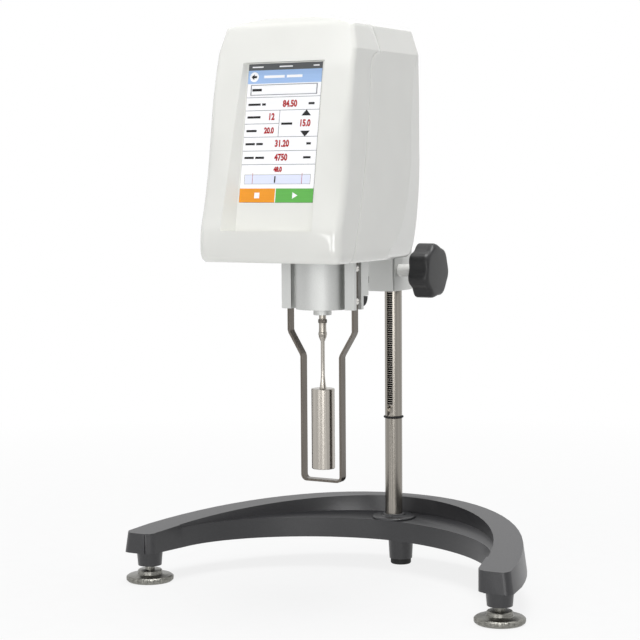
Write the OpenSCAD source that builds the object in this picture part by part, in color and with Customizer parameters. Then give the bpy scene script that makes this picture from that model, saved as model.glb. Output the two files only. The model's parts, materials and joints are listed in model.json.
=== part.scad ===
// Rotational viscometer: a crescent stand with a rack column, a measuring head that a
// pinion knob lifts and lowers, and a sprung spindle under the head inside a guard leg.
// Z is up, the front is -Y, and the origin is on the spindle's axis at the table.

/* [Base] */
// Height of the casting's underside above the table
base_z = 26.2; // [20:0.1:34]
// Thickness of the casting at its tips and ledge
base_t = 17.1; // [12:0.1:22]
// Half width of the outer outline
base_half_w = 176.4; // [165:0.1:190]
// Y of the outer outline's rearmost point
base_back_y = 165; // [155:0.5:180]
// Half width of the opening between the arms
opening_half_w = 141; // [130:0.5:150]
// Y of the opening's rearmost point
opening_back_y = 112.2; // [100:0.1:116]
// Y of the rim's inner wall at its rearmost point
rim_wall_y = 153.2; // [146:0.1:160]
// Y of the front of both arm tips
tip_y = -31; // [-40:0.5:-26]
// Corner radius of the arm tips
tip_r = 7; // [3:0.5:9]
// Outward draft of the outer wall, from the rim down to the underside
base_draft = 5; // [2:0.5:8]
// Rise of the rim's top from the tips to the back, in degrees
rim_rise = 4.4; // [2:0.1:6]

/* [Feet] */
// X of each levelling foot
foot_x = 160.4; // [150:0.1:164]
// Y of both levelling feet
foot_y = -14.5; // [-18:0.1:-10]
// Diameter of the ribbed foot disc
foot_d = 40; // [34:0.5:44]
// Height of the foot disc's ribbed rim
foot_rim_h = 5.2; // [4:0.1:7]
// Diameter of the hub on the disc
foot_hub_d = 20.6; // [16:0.1:24]
// Height of the hub's top above the table
foot_hub_z = 9.8; // [8:0.1:12]
// Thread diameter of the foot's stud
foot_stud_d = 8; // [6:0.5:10]
// Number of grip flutes round the disc
foot_flutes = 24; // [16:1:36]
// Height of the boss that each stud screws into
foot_boss_h = 12.5; // [8:0.1:14]
// Diameter of the foot boss at its lower end
foot_boss_d = 20; // [16:0.5:22]
// Y of the fixed rear foot
rear_foot_y = 143; // [130:0.5:150]
// Diameter of the rear foot's rubber pad
rear_pad_d = 18; // [14:0.5:24]
// Thickness of the rear foot's rubber pad
rear_pad_t = 5; // [3:0.5:8]

/* [Column] */
// Diameter of the column
column_d = 15; // [14:0.1:18]
// Y of the column's axis behind the spindle
column_y = 129.3; // [125:0.1:132]
// Height of the column's top
column_top_z = 388; // [380:1:420]
// Height of the rack slot's lower end
rack_z0 = 140; // [136:0.5:165]
// Height of the rack slot's upper end
rack_z1 = 330; // [322:0.5:350]
// Width of the rack slot
slot_w = 5.2; // [5:0.1:5.6]
// Gear module of rack and pinion
gear_m = 0.6; // [0.5:0.05:0.7]
// Teeth on the pinion
pinion_teeth = 20; // [18:1:21]
// Distance from the column's axis forward to the rack's pitch line
rack_pitch_off = 4.4; // [4:0.1:4.6]
// Height of the stop ring's middle
stop_ring_z = 132.2; // [120:0.1:135]
// Diameter of the flange round the column's foot
flange_d = 38; // [30:0.5:40]

/* [Lift block] */
// Half width of the block's front face
block_half_w = 11.3; // [10.5:0.1:13]
// Y of the block's front face
block_front_y = 105; // [103:0.1:107]
// Y of the block's rear face
block_rear_y = 143; // [141:0.5:150]
// Height of the block's underside
block_z0 = 243; // [240:0.5:246]
// Height of the block's top
block_z1 = 312; // [306:0.5:320]
// Height of the pinion's axis
pinion_z = 260.7; // [259:0.1:263]
// Diameter of the pinion shaft
pinion_shaft_d = 5; // [4:0.1:5.2]
// Diameter of the white bushing that the knob turns against
bushing_d = 10.7; // [9:0.1:13]
// X of the lift knob's inner face
knob_x0 = 29.5; // [28:0.5:34]
// Length of the lift knob along its axis
knob_len = 18.5; // [14:0.5:22]
// Diameter of the lift knob over its lobes
knob_d = 47.2; // [40:0.2:52]
// Number of lobes on the lift knob
knob_lobes = 7; // [5:1:8]
// Depth of the flutes between the knob's lobes
knob_flute = 2.5; // [1:0.1:4]
// Rounding of the knob's outer edge
knob_edge = 4.2; // [2:0.1:5]
// Lowest travel of the head below its rest height
lift_down = 90; // [60:1:92]
// Highest travel of the head above its rest height
lift_up = 50; // [30:1:55]

/* [Head] */
// Height of the head's lower edge
head_z0 = 276; // [274:0.5:280]
// Half width of the head
head_half_w = 62; // [60:0.5:66]
// Wall thickness of the moulded covers
wall = 2.6; // [2:0.1:3]
// Gap along the seam between the two covers
seam_gap = 0.3; // [0.2:0.05:0.5]
// Width of the display's visible area
screen_w = 64.8; // [60:0.1:68]
// Height of the display's visible area
screen_h = 108; // [100:0.5:110]
// Y of the screen's upper edge
screen_top_y = -56.9; // [-60:0.1:-56]
// Height of the screen's upper edge
screen_top_z = 428.5; // [426:0.1:432]
// Backward tilt of the screen from upright, in degrees
screen_tilt = 9.55; // [8:0.05:11]
// Thickness of the touch glass
glass_t = 2; // [1.5:0.1:3]

/* [Spindle unit] */
// Diameter of the spindle housing's round part
housing_d = 43; // [38:0.5:46]
// Height of the spindle housing's underside
housing_z0 = 235.4; // [230:0.1:240]
// Half width across the housing's side lugs
lug_half_w = 33; // [31:0.5:36]
// Diameter of the spindle's shaft above the coupling
shaft_d = 5.7; // [5:0.1:7]
// Diameter of the bearing boss under the housing
boss_d = 14.6; // [12:0.2:18]
// Height of the bearing boss's underside
boss_z0 = 230.5; // [228:0.1:233]
// Diameter of the spindle's cylinder
spindle_d = 18.84; // [10:0.01:19]
// Length of the spindle's cylinder
spindle_l = 65.1; // [30:0.1:66]
// Height of the spindle cylinder's lower end
spindle_z0 = 105.8; // [102:0.1:112]
// Diameter of the spindle's rod
rod_d = 3.2; // [2.5:0.1:4]

/* [Guard leg] */
// Thickness of the guard leg's strip
strip_t = 2; // [1.5:0.1:2.4]
// Width of the guard leg's strip
strip_w = 7.6; // [6:0.1:8]
// X of the strip's middle beside the housing
guard_top_x = 29.3; // [29:0.1:30]
// X of the strip's middle beside the spindle
guard_low_x = 17.6; // [15:0.1:24]
// Height of the strip's lower face
guard_z0 = 95.2; // [94:0.1:98]
// Height where the strip bends inwards
guard_bend_z = 216.3; // [210:0.1:225]
// Height where the strip turns down again
guard_low_z = 198; // [190:0.1:205]

/* [Hidden] */
$fn = 64;
eps = 0.01;
fit = 0.05;        // radial clearance of a running or sliding fit
gap = 0.3;         // clearance between pieces that stand apart
tooth_gap = 0.05;  // backlash taken off each tooth flank

base_top_z = base_z + base_t;
arm_in_x = foot_x - 13.2;      // inner side of an arm's tip
arm_out_x = foot_x + 11.2;     // outer side of an arm's tip
foot_boss_z0 = base_z - foot_boss_h;

pinion_r = gear_m * pinion_teeth / 2;
rack_pitch_y = column_y - rack_pitch_off;
pinion_y = rack_pitch_y - pinion_r;
rack_root_y = rack_pitch_y + 1.25 * gear_m;
rack_back_y = rack_root_y + 1.9;
pitch = PI * gear_m;

// Plan outlines -------------------------------------------------------------------

// Half of a superellipse about (0, y0), from the +X end over +Y to the -X end
function arch(a, back, y0, n, steps = 40) = [
    for (i = [0:steps])
        let (t = 180 * i / steps, c = cos(t), s = sin(t))
        [a * sign(c) * pow(abs(c), 2 / n), y0 + (back - y0) * pow(abs(s), 2 / n)]];

function arc(cx, cy, r, a0, a1, steps = 6) = [
    for (i = [0:steps])
        let (t = a0 + (a1 - a0) * i / steps)
        [cx + r * cos(t), cy + r * sin(t)]];

// A half outline given on +X, closed by its mirror image
function mirrored(pts) = concat(pts, [for (i = [len(pts) - 1:-1:0]) [-pts[i][0], pts[i][1]]]);

outer_y0 = -80;
function outer_outline() =
    let (a = arch(base_half_w, base_back_y, outer_y0, 2.09))
    mirrored(concat(
        [for (i = [20:-1:0]) if (a[i][1] > foot_y) a[i]],
        arc(arm_out_x - tip_r, tip_y + tip_r, tip_r, 0, -90)));

opening_y0 = 0.8;
function opening_outline() =
    let (a = arch(opening_half_w, opening_back_y, opening_y0, 1.81))
    mirrored(concat(
        [for (i = [20:-1:1]) a[i]],
        arc(arm_in_x + tip_r, tip_y + tip_r, tip_r, 180, 270),
        [[arm_in_x + tip_r, tip_y - 10]]));

rim_y0 = -62.7;
function rim_outline() =
    let (a = arch(opening_half_w + 9, rim_wall_y, rim_y0, 2))
    mirrored([for (i = [20:-1:0]) if (a[i][1] > opening_y0) a[i]]);

// Stand ---------------------------------------------------------------------------

draft_y = 10;       // the outer wall's draft grows away from this line
rim_max_z = base_top_z + (base_back_y - tip_y) * tan(rim_rise);
over_base = 60;     // height of a cut that passes the casting anywhere

module base_blank() {
    h = rim_max_z - base_z;
    sx = 1 - base_draft / (base_half_w + base_draft);
    sy = 1 - base_draft / (base_back_y - draft_y + base_draft);
    translate([0, draft_y, base_z])
    linear_extrude(h, scale = [sx, sy], slices = 1)
    scale([1 / sx, 1 / sy])
    translate([0, -draft_y])
    polygon(outer_outline());
}

// Everything below the sloping plane of the rim's top
module under_rim() {
    y0 = tip_y - 30;
    y1 = base_back_y + 30;
    rotate([90, 0, 90])
    linear_extrude(2 * base_half_w + 40, center = true)
    polygon([[y0, 0], [y1, 0], [y1, base_top_z + (y1 - tip_y) * tan(rim_rise)],
             [y0, base_top_z + (y0 - tip_y) * tan(rim_rise)]]);
}

module foot_boss(x, y, z0) {
    translate([x, y, z0])
    cylinder(h = base_z - z0 + 1, d1 = foot_boss_d, d2 = foot_boss_d + 2.4);
}

module base_casting() {
    color("#45464a")
    difference() {
        union() {
            difference() {
                intersection() {
                    base_blank();
                    under_rim();
                }
                translate([0, 0, base_z - 1])
                linear_extrude(over_base) polygon(opening_outline());
                translate([0, 0, base_top_z])
                linear_extrude(over_base) polygon(rim_outline());
            }
            foot_boss(-foot_x, foot_y, foot_boss_z0);
            foot_boss(foot_x, foot_y, foot_boss_z0);
            foot_boss(0, rear_foot_y, rear_pad_t);
        }
        for (s = [-1, 1])
            translate([s * foot_x, foot_y, foot_boss_z0 - 1])
            cylinder(h = stud_len + 5.2, d = foot_stud_d + 2 * fit);
        translate([0, column_y, base_z - 1])
        cylinder(h = base_t + 2, d = column_d);
        translate([0, column_y, base_z - 1])
        cylinder(h = column_z0 - base_z + 1, d = bolt_head_d + 1);
    }
}

stud_len = foot_boss_h + base_t - 6;
bolt_head_d = 22;
bolt_head_h = 5;
bolt_recess = 0.8;
column_z0 = base_z + bolt_recess + bolt_head_h;   // the column stands on the bolt's head
flange_t = 2;

module column_flange() {
    color("#38393b")
    translate([0, column_y, base_top_z])
    rotate_extrude()
    polygon([[column_d / 2, 0], [flange_d / 2, 0], [flange_d / 2, flange_t - 0.8],
             [flange_d / 2 - 0.8, flange_t], [column_d / 2 + 2.5, flange_t],
             [column_d / 2 + 1.5, flange_t + 2], [column_d / 2, flange_t + 2]]);
}

slot_floor_y = rack_back_y;
ring_groove = 0.6;

module column() {
    color("#8f8b84")
    difference() {
        translate([0, column_y, column_z0])
        cylinder(h = column_top_z - column_z0, d = column_d);
        translate([-slot_w / 2, column_y - column_d, rack_z0])
        cube([slot_w, column_d + slot_floor_y - column_y, rack_z1 - rack_z0]);
        translate([0, column_y - column_d / 2 - 9, rack_z0])
        rotate([0, 90, 0])
        cylinder(h = slot_w, r = 12.5, center = true);
        translate([0, column_y, stop_ring_z])
        rotate_extrude()
        translate([column_d / 2 - ring_groove, -1.1]) square([2, 2.2]);
        translate([0, column_y, column_z0 - eps])
        cylinder(h = 22, d = 8);
        translate([0, column_y, column_top_z - 10])
        cylinder(h = 11, d = 10);
    }
}

// One rack tooth space, drawn in the plane of Y (depth) and Z, centred on Z = 0
function rack_space() =
    let (tip_y = rack_pitch_y - gear_m, k = tan(20), half = pitch / 4 + tooth_gap)
    [[tip_y - 1, half + k * (gear_m + 1)], [rack_root_y, half - k * 1.25 * gear_m],
     [rack_root_y, -half + k * 1.25 * gear_m], [tip_y - 1, -half - k * (gear_m + 1)]];

module rack() {
    low = ceil((rack_z0 + 3 - pinion_z) / pitch);
    high = floor((rack_z1 - 1 - pinion_z) / pitch);
    tip_y = rack_pitch_y - gear_m;
    bar = slot_w - 2 * fit;
    color("#3c3b39")
    difference() {
        translate([-bar / 2, tip_y, rack_z0 + 2.4])
        cube([bar, slot_floor_y - tip_y, rack_z1 - rack_z0 - 2.5]);
        for (i = [low:high])
            translate([0, 0, pinion_z + i * pitch])
            rotate([90, 0, 90])
            linear_extrude(bar + 1, center = true)
            polygon(rack_space());
    }
}

module stop_ring() {
    color("#1d1d1e")
    translate([0, column_y, stop_ring_z])
    rotate_extrude()
    translate([column_d / 2 + 0.35, 0]) circle(r = 0.9, $fn = 24);
}

module column_cap() {
    color("#262627")
    translate([0, column_y, column_top_z])
    rotate_extrude()
    polygon([[0, -8], [4.8, -8], [4.8, 0], [column_d / 2, 0], [column_d / 2, 1.8],
             [column_d / 2 - 1.2, 3], [0, 3]]);
}

module column_bolt() {
    color("#9a9a98")
    translate([0, column_y, base_z + bolt_recess])
    difference() {
        union() {
            cylinder(h = bolt_head_h, d = bolt_head_d);
            cylinder(h = 24, d = 8 - 2 * fit);
        }
        translate([0, 0, -eps]) cylinder(h = 4, r = 4, $fn = 6);
    }
}

module rear_foot_pad() {
    color("#222223")
    translate([0, rear_foot_y, 0])
    rotate_extrude()
    polygon([[0, 0], [rear_pad_d / 2 - 0.8, 0], [rear_pad_d / 2, 0.8], [rear_pad_d / 2, rear_pad_t],
             [0, rear_pad_t]]);
}

// Levelling foot: ribbed disc with a raised hub, a stud and a rubber sole
module levelling_foot(x) {
    translate([x, foot_y, 0]) {
        difference() {
            rotate_extrude()
            polygon([[0, 0], [foot_d / 2 - 1.5, 0], [foot_d / 2, 1.4], [foot_d / 2, foot_rim_h - 1.2],
                     [foot_d / 2 - 1.6, foot_rim_h], [foot_hub_d / 2 + 1, foot_rim_h + 0.4],
                     [foot_hub_d / 2, foot_rim_h + 1], [foot_hub_d / 2, foot_hub_z - 0.8],
                     [foot_hub_d / 2 - 0.8, foot_hub_z], [0, foot_hub_z]]);
            for (i = [0:foot_flutes - 1])
                rotate([0, 0, i * 360 / foot_flutes])
                translate([foot_d / 2 + 1.5, 0, -1])
                cylinder(h = foot_rim_h + 2, r = 2.1, $fn = 16);
        }
        translate([0, 0, foot_hub_z - eps])
        cylinder(h = foot_boss_z0 + stud_len - foot_hub_z, d = foot_stud_d);
    }
}

module left_foot() { color("#6f6e68") levelling_foot(-foot_x); }
module right_foot() { color("#6f6e68") levelling_foot(foot_x); }

// Lift block ----------------------------------------------------------------------

plate_t = 1.6;
groove_w = 2.2;
groove_d = 2;
block_body_y = block_front_y + plate_t;
block_left_x = 21;
gear_pocket_r = pinion_r + gear_m + 0.8;
gear_w = slot_w - 1;
arm_z0 = head_z0 + 5;
arm_z1 = block_z1;
arm_half_w = 10;

module x_bore(x0, x1, d, y, z) {
    translate([x0, y, z])
    rotate([0, 90, 0])
    cylinder(h = x1 - x0, d = d);
}

module lift_block() {
    h = block_z1 - block_z0;
    color("#b4b5b4")
    difference() {
        union() {
            translate([-block_half_w, block_body_y, block_z0])
            cube([2 * block_half_w, block_rear_y - block_body_y, h]);
            translate([-block_left_x, clamp_front_y, block_z0])
            cube([block_left_x, block_rear_y - clamp_front_y, h]);
        }
        translate([0, column_y, block_z0 - 1])
        cylinder(h = h + 2, d = column_d + 2 * fit);
        translate([block_half_w - groove_d, block_body_y, block_z0 - 1])
        cube([groove_d + 1, groove_w, h + 2]);
        translate([-gear_w / 2 - 1, block_body_y - 1, pinion_z - gear_pocket_r])
        cube([gear_w + 2, column_y - block_body_y, 2 * gear_pocket_r]);
        x_bore(-block_left_x - 1, block_half_w + 1, pinion_shaft_d + 2 * fit, pinion_y, pinion_z);
        x_bore(block_half_w - bushing_seat, block_half_w + 1, bushing_d - 2, pinion_y, pinion_z);
        translate([-block_left_x - 1, column_y - clamp_slit / 2, block_z0 - 1])
        cube([block_left_x, clamp_slit, h + 2]);
        translate([friction_x, clamp_front_y - 1, friction_z])
        rotate([-90, 0, 0])
        cylinder(h = friction_l + 2, d = friction_d);
        arm_screw_holes(block_body_y - 1, 9);
    }
}

bushing_seat = 4;

// The block's left side is slit to the column's bore, and the friction screw pinches it
clamp_front_y = block_body_y + 4.5;
clamp_slit = 1.2;
friction_x = -16.2;
friction_z = pinion_z - 8.3;
friction_d = 4;
friction_l = 26;

module block_front_plate() {
    color("#c3c3c1")
    translate([-block_half_w, block_front_y, block_z0])
    cube([2 * block_half_w, plate_t, arm_z0 - gap - block_z0]);
}

arm_screw_d = 4;
arm_screw_z = [arm_z0 + 6, arm_z1 - 12];
chassis_rear_y = 48;
arm_head_y = chassis_rear_y;

module arm_screw_holes(y, l) {
    for (z = arm_screw_z)
        translate([0, y, z])
        rotate([-90, 0, 0])
        cylinder(h = l, d = arm_screw_d);
}

// Channel-shaped arm, open below, with a solid wall at each end for its screws
arm_wall = 3.5;
arm_end_t = 8;

module head_arm() {
    color("#a9aaa9")
    difference() {
        translate([-arm_half_w, arm_head_y, arm_z0])
        cube([2 * arm_half_w, block_body_y - arm_head_y, arm_z1 - arm_z0]);
        translate([-arm_half_w + arm_wall, arm_head_y + arm_end_t, arm_z0 - 1])
        cube([2 * (arm_half_w - arm_wall), block_body_y - arm_head_y - 2 * arm_end_t,
              arm_z1 - arm_z0 - arm_wall + 1]);
        arm_screw_holes(arm_head_y - 1, arm_end_t);
        arm_screw_holes(block_body_y - arm_end_t - 1, arm_end_t + 2);
    }
}

// Cap screw lying along +Y, its head towards -Y
module cap_screw(d, l) {
    rotate([-90, 0, 0])
    difference() {
        union() {
            translate([0, 0, -d]) cylinder(h = d, d = 1.75 * d);
            cylinder(h = l, d = d);
        }
        translate([0, 0, -d - eps]) cylinder(h = d * 0.6, r = d * 0.48, $fn = 6);
    }
}

module arm_screws() {
    color("#4a4a4a")
    for (y = [chassis_rear_y - rear_wall_t, block_body_y - arm_end_t], z = arm_screw_z)
        translate([0, y, z])
        cap_screw(arm_screw_d - 2 * fit, arm_end_t + 3);
}

module friction_screw() {
    color("#3a3a3a")
    translate([friction_x, clamp_front_y, friction_z])
    cap_screw(friction_d - 2 * fit, friction_l);
}

module knob_bushing() {
    color("#dcdcda")
    difference() {
        union() {
            x_bore(block_half_w, knob_x0 - gap, bushing_d, pinion_y, pinion_z);
            x_bore(block_half_w - bushing_seat + 0.2, block_half_w + eps, bushing_d - 2.2, pinion_y, pinion_z);
        }
        x_bore(block_half_w - bushing_seat, knob_x0, pinion_shaft_d + 2 * fit, pinion_y, pinion_z);
    }
}

module pinion_shaft() {
    color("#8c8c8a")
    x_bore(-block_left_x + 0.5, knob_x0 + knob_len - 5, pinion_shaft_d, pinion_y, pinion_z);
}

// Involute tooth flank from the base circle to the tip, as [radius, angle] turned into points
function involute(rb, r) = let (a = acos(rb / r)) tan(a) * 180 / PI - a;

module pinion_profile() {
    rb = pinion_r * cos(20);
    rt = pinion_r + gear_m;
    rr = pinion_r - 1.25 * gear_m;
    half = 90 / pinion_teeth - tooth_gap / pinion_r * 180 / PI + involute(rb, pinion_r);
    rs = [for (i = [0:4]) rb + (rt - rb) * i / 4];
    flank = [for (r = rs) [r, half - involute(rb, r)]];
    tooth = concat([[rr, half + 1]], flank);
    pts = [for (k = [0:pinion_teeth - 1]) let (c = 360 * k / pinion_teeth)
           each concat([for (p = tooth) [p[0] * cos(c - p[1]), p[0] * sin(c - p[1])]],
                       [for (i = [len(tooth) - 1:-1:0]) let (p = tooth[i])
                        [p[0] * cos(c + p[1]), p[0] * sin(c + p[1])]])];
    polygon(pts);
}

module pinion() {
    color("#b08d4a")
    translate([-gear_w / 2, pinion_y, pinion_z])
    rotate([90, 0, 90])
    linear_extrude(gear_w)
    difference() {
        pinion_profile();
        circle(d = pinion_shaft_d);
    }
}

knob_phase = 44.5;       // angle of one lobe above the rear horizontal at rest
knob_lobe_steps = 14;    // points of the outline along one lobe
knob_in_edge = 2;        // rounding at the knob's inner end
knob_cap_d = 16;

// Plan of the knob: lobes round a circle, as one smooth curve
function knob_outline(d) =
    let (n = knob_lobe_steps * knob_lobes, k = knob_flute / knob_d)
    [for (i = [0:n - 1])
        let (a = i * 360 / n, r = d / 2 * (1 - k * (1 - cos(knob_lobes * (a - knob_phase)))))
        [r * cos(a), r * sin(a)]];

module knob_slice(x, d, t) {
    translate([x, pinion_y, pinion_z])
    rotate([90, 0, 90])
    linear_extrude(t) polygon(knob_outline(d));
}

module lift_knob() {
    end = knob_x0 + knob_len;
    color("#38383a")
    difference() {
        union() {
            hull() {
                knob_slice(knob_x0, knob_d - 2 * knob_in_edge, eps);
                knob_slice(knob_x0 + knob_in_edge, knob_d, eps);
            }
            knob_slice(knob_x0 + knob_in_edge, knob_d, knob_len - knob_in_edge - knob_edge);
            hull() {
                knob_slice(end - knob_edge - eps, knob_d, eps);
                knob_slice(end - knob_edge / 3, knob_d - knob_edge * 0.6, eps);
                knob_slice(end - eps, knob_d - 2 * knob_edge, eps);
            }
        }
        x_bore(knob_x0 - 1, end - 4, pinion_shaft_d, pinion_y, pinion_z);
        x_bore(end - 4 - eps, end + 1, knob_cap_d, pinion_y, pinion_z);
    }
}

module knob_cap() {
    end = knob_x0 + knob_len;
    color("#2c2c2d")
    x_bore(end - 3.8, end, knob_cap_d - 0.2, pinion_y, pinion_z);
}

// Head ----------------------------------------------------------------------------

// Stations of the head's moulded form, each: height above the lower edge, half width taken off,
// Y of the front, Y of the rear, radius of the front corners
stations = [
    [0, 3, -85, 52, 5],
    [2.5, 1, -87.8, 54.5, 6],
    [10, 0, -90, 57.2, 8],
    [22, 0, -91, 59, 10.5],
    [36, 0, -88.6, 60.8, 13],
    [49, 0, -85.5, 61.8, 14],
    [69, 0, -80.6, 62.6, 13],
    [94, 0.2, -74.6, 62.6, 9],
    [124, 0.5, -67.5, 62.2, 5],
    [149, 1, -61.5, 60.6, 4],
    [162, 1.2, -58, 59, 4],
    [181, 5.8, -53, 55, 4],
    [184.5, 13, -51.6, 53.5, 4],
    [187.3, 26, -50.6, 52, 4],
    [189, 40, -50, 51, 4],
    [189.6, 56, -49.5, 50.3, 3]];
rear_r = 6;

// Rounded rectangle from station s, drawn in by t
function ring(s, t) =
    let (w = head_half_w - s[1] - t, f = s[2] + t, b = s[3] - t,
         rf = max(0.6, min(s[4] - t, w * 0.8)), rr = max(0.6, min(rear_r - t, w * 0.8)))
    concat(arc(w - rf, f + rf, rf, -90, 0, 5), arc(w - rr, b - rr, rr, 0, 90, 5),
           arc(-w + rr, b - rr, rr, 90, 180, 5), arc(-w + rf, f + rf, rf, 180, 270, 5));

// Solid through the stations; t draws it in, and foot lowers its first ring
module head_form(t, foot) {
    n = len(ring(stations[0], t));
    m = len(stations);
    pts = [for (k = [0:m - 1]) let (s = stations[k], z = head_z0 + s[0] - (k == 0 ? foot : 0) - t)
           for (p = ring(s, t)) [p[0], p[1], z + (k == 0 ? t : 0)]];
    sides = [for (k = [0:m - 2]) for (i = [0:n - 1]) let (j = (i + 1) % n)
             each [[k * n + i, k * n + j, (k + 1) * n + j], [k * n + i, (k + 1) * n + j, (k + 1) * n + i]]];
    lower = [[for (i = [n - 1:-1:0]) i]];
    upper = [[for (i = [0:n - 1]) (m - 1) * n + i]];
    polyhedron([for (p = pts) p], [for (f = concat(lower, sides, upper)) [for (i = [len(f) - 1:-1:0]) f[i]]]);
}

// Side view of the stepped seam from above the roof down to below the lower edge, each point
// as [Y, height above the lower edge]
seam_line = [[-24, 194], [-20.3, 180], [-16, 163.5], [-16, 160.4], [-22, 160.4], [-26.5, 158.6],
             [-29.3, 155.9], [-31.2, 152.5], [-32.2, 149.3], [-37.3, 111.9], [-47.4, 62.7],
             [-54, 36.2], [-64.9, 1.9], [-66.5, -6]];
seam_far_y = 90;     // a line behind the whole head
seam_margin = 10;    // how far the cut reaches past the head's sides

module behind_seam(shift) {
    top = seam_line[0][1];
    low = seam_line[len(seam_line) - 1][1];
    translate([-head_half_w - seam_margin, shift, head_z0])
    rotate([90, 0, 90])
    linear_extrude(2 * (head_half_w + seam_margin))
    polygon(concat(seam_line, [[seam_far_y, low], [seam_far_y, top]]));
}

module head_shell() {
    difference() {
        head_form(0, 0);
        head_form(wall, 4);
    }
}

// Places a child drawn in the screen's own plane: X across, Y up from the screen's upper edge,
// Z out of the glass
module on_screen() {
    translate([0, screen_top_y, screen_top_z])
    rotate([90 - screen_tilt, 0, 0])
    children();
}

recess_top_half = 35.8;
recess_low_half = 40;
recess_low = -132;

module recess_outline(grow) {
    polygon([[-recess_top_half - grow, 0.6 + grow], [recess_top_half + grow, 0.6 + grow],
             [recess_low_half + grow, recess_low - grow], [-recess_low_half - grow, recess_low - grow]]);
}

module front_cover() {
    color("#ecede7")
    difference() {
        union() {
            difference() {
                head_shell();
                behind_seam(-seam_gap / 2);
            }
            intersection() {
                head_form(0.4, 0);
                union() {
                    on_screen()
                    translate([0, 0, -glass_t]) linear_extrude(24) recess_outline(2.2);
                    front_lugs();
                }
            }
        }
        front_lug_screws(cover_screw_d - 0.4, floor_z0 + floor_t - 1, 8);
        on_screen() linear_extrude(40) recess_outline(0);
        on_screen()
        translate([-screen_w / 2 - 0.2, -screen_h - 0.2, -5])
        cube([screen_w + 0.4, screen_h + 0.4, 10]);
    }
}

arm_window_gap = 1;

module rear_cover() {
    color("#e4e4e0")
    difference() {
        intersection() {
            union() {
                head_shell();
                intersection() {
                    head_form(wall / 2, 0);
                    cover_screw_holes(cover_boss_d, chassis_rear_y + gap, 40);
                }
                level_seat();
            }
            behind_seam(seam_gap / 2);
        }
        translate([-arm_half_w - arm_window_gap, 40, arm_z0 - arm_window_gap])
        cube([2 * (arm_half_w + arm_window_gap), 40, arm_z1 - arm_z0 + 2 * arm_window_gap]);
        rear_port(switch_x) square([switch_w + 0.4, switch_h + 0.4], center = true);
        rear_port(jack_x) circle(d = jack_d + 0.4);
        rear_port(usb_x) square([usb_w + 0.4, usb_h + 0.4], center = true);
        rear_port(probe_x) circle(d = probe_d + 0.4);
        cover_screw_holes(cover_screw_d + 0.4, chassis_rear_y, 40);
        cover_screw_holes(cover_screw_d * 1.75 + 0.6, cover_screw_head_y, 40);
        translate([0, level_y, level_z0])
        cylinder(h = level_h + 20, d = level_d + 0.4);
    }
}

module cover_screw_holes(d, y, l) {
    for (p = cover_screw_places)
        translate([p[0], y, p[1]])
        rotate([-90, 0, 0])
        cylinder(h = l, d = d);
}

port_z = 352;
switch_x = 42;
switch_w = 13;
switch_h = 19;
jack_x = 24;
jack_d = 9;
usb_x = -24;
usb_w = 12;
usb_h = 11;
probe_x = -43;
probe_d = 12;
rear_y = 62.6;          // outer face of the rear cover at the ports' height
cover_screw_d = 3.4;
cover_screw_places = [[-42, 300], [42, 300], [-42, 425], [42, 425]];
cover_boss_d = 9;
level_y = 22;
level_d = 14;
level_h = 7;
level_z0 = head_z0 + 188.4 - level_h;
cover_screw_head_y = 56;   // bottom of the screw heads' recesses

// Cup in the roof that the bubble level drops into
module level_seat() {
    translate([0, level_y, level_z0 - 1.5])
    cylinder(h = level_h + 0.5, d = level_d + 4);
}

// Cuts or builds a rear port: its outline is drawn facing +Y at the ports' height
module rear_port(x, y0 = 40, depth = 40) {
    translate([x, y0 + depth, port_z])
    rotate([90, 0, 0])
    linear_extrude(depth) children();
}

module touch_glass() {
    color("#dfe6ee")
    on_screen()
    translate([-screen_w / 2, -screen_h, -glass_t])
    cube([screen_w, screen_h, glass_t]);
}

module display_module() {
    color("#2e3033")
    on_screen()
    translate([-screen_w / 2 - 3, -screen_h - 3, -glass_t - display_t])
    difference() {
        cube([screen_w + 6, screen_h + 6, display_t]);
        translate([6, 6, -1]) cube([screen_w - 6, screen_h - 6, 2]);
    }
}

display_t = 6;
board_z = -24;
board_t = 1.6;

module main_board() {
    color("#2f6b45")
    on_screen()
    difference() {
        translate([-40, -screen_h - 4, board_z]) cube([80, screen_h + 8, board_t]);
        board_holes() cylinder(h = 8, d = 3.2, center = true);
    }
}

module board_holes() {
    for (x = [-32, 32], y = [-4, -screen_h + 4])
        translate([x, y, board_z + board_t]) children();
}

module board_posts() {
    color("#c2a25a")
    on_screen()
    board_holes()
    cylinder(h = -board_z - board_t - glass_t - display_t, d = 5, $fn = 24);
}

// Chassis: floor plate under the covers with an upright wall for the arm
floor_z0 = head_z0 + 1;
floor_t = 4;
floor_half_w = 52;
floor_front_y = -80;
rear_wall_t = 5;
upright_t = 3;
lug_head_h = 2.2;
rear_wall_half_w = 30;
rear_wall_h = 60;
rib_h = 20;
rib_front_y = 10;
post_half_w = 6;         // posts that the rear cover's screws turn into
post_over = 8;           // how far each post reaches over its upper screw

// Vertical screw places where the front cover's lugs stand on the floor plate
module front_lug_screws(d, z, h) {
    for (s = [-1, 1])
        translate([s * 46, -74, z])
        cylinder(h = h, d = d);
}

// Lugs inside the front cover that carry it on the floor plate
module front_lugs() {
    for (s = [-1, 1])
        translate([s * 50 - 10, -80, floor_z0 + floor_t])
        cube([20, 12, 9]);
}

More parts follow.
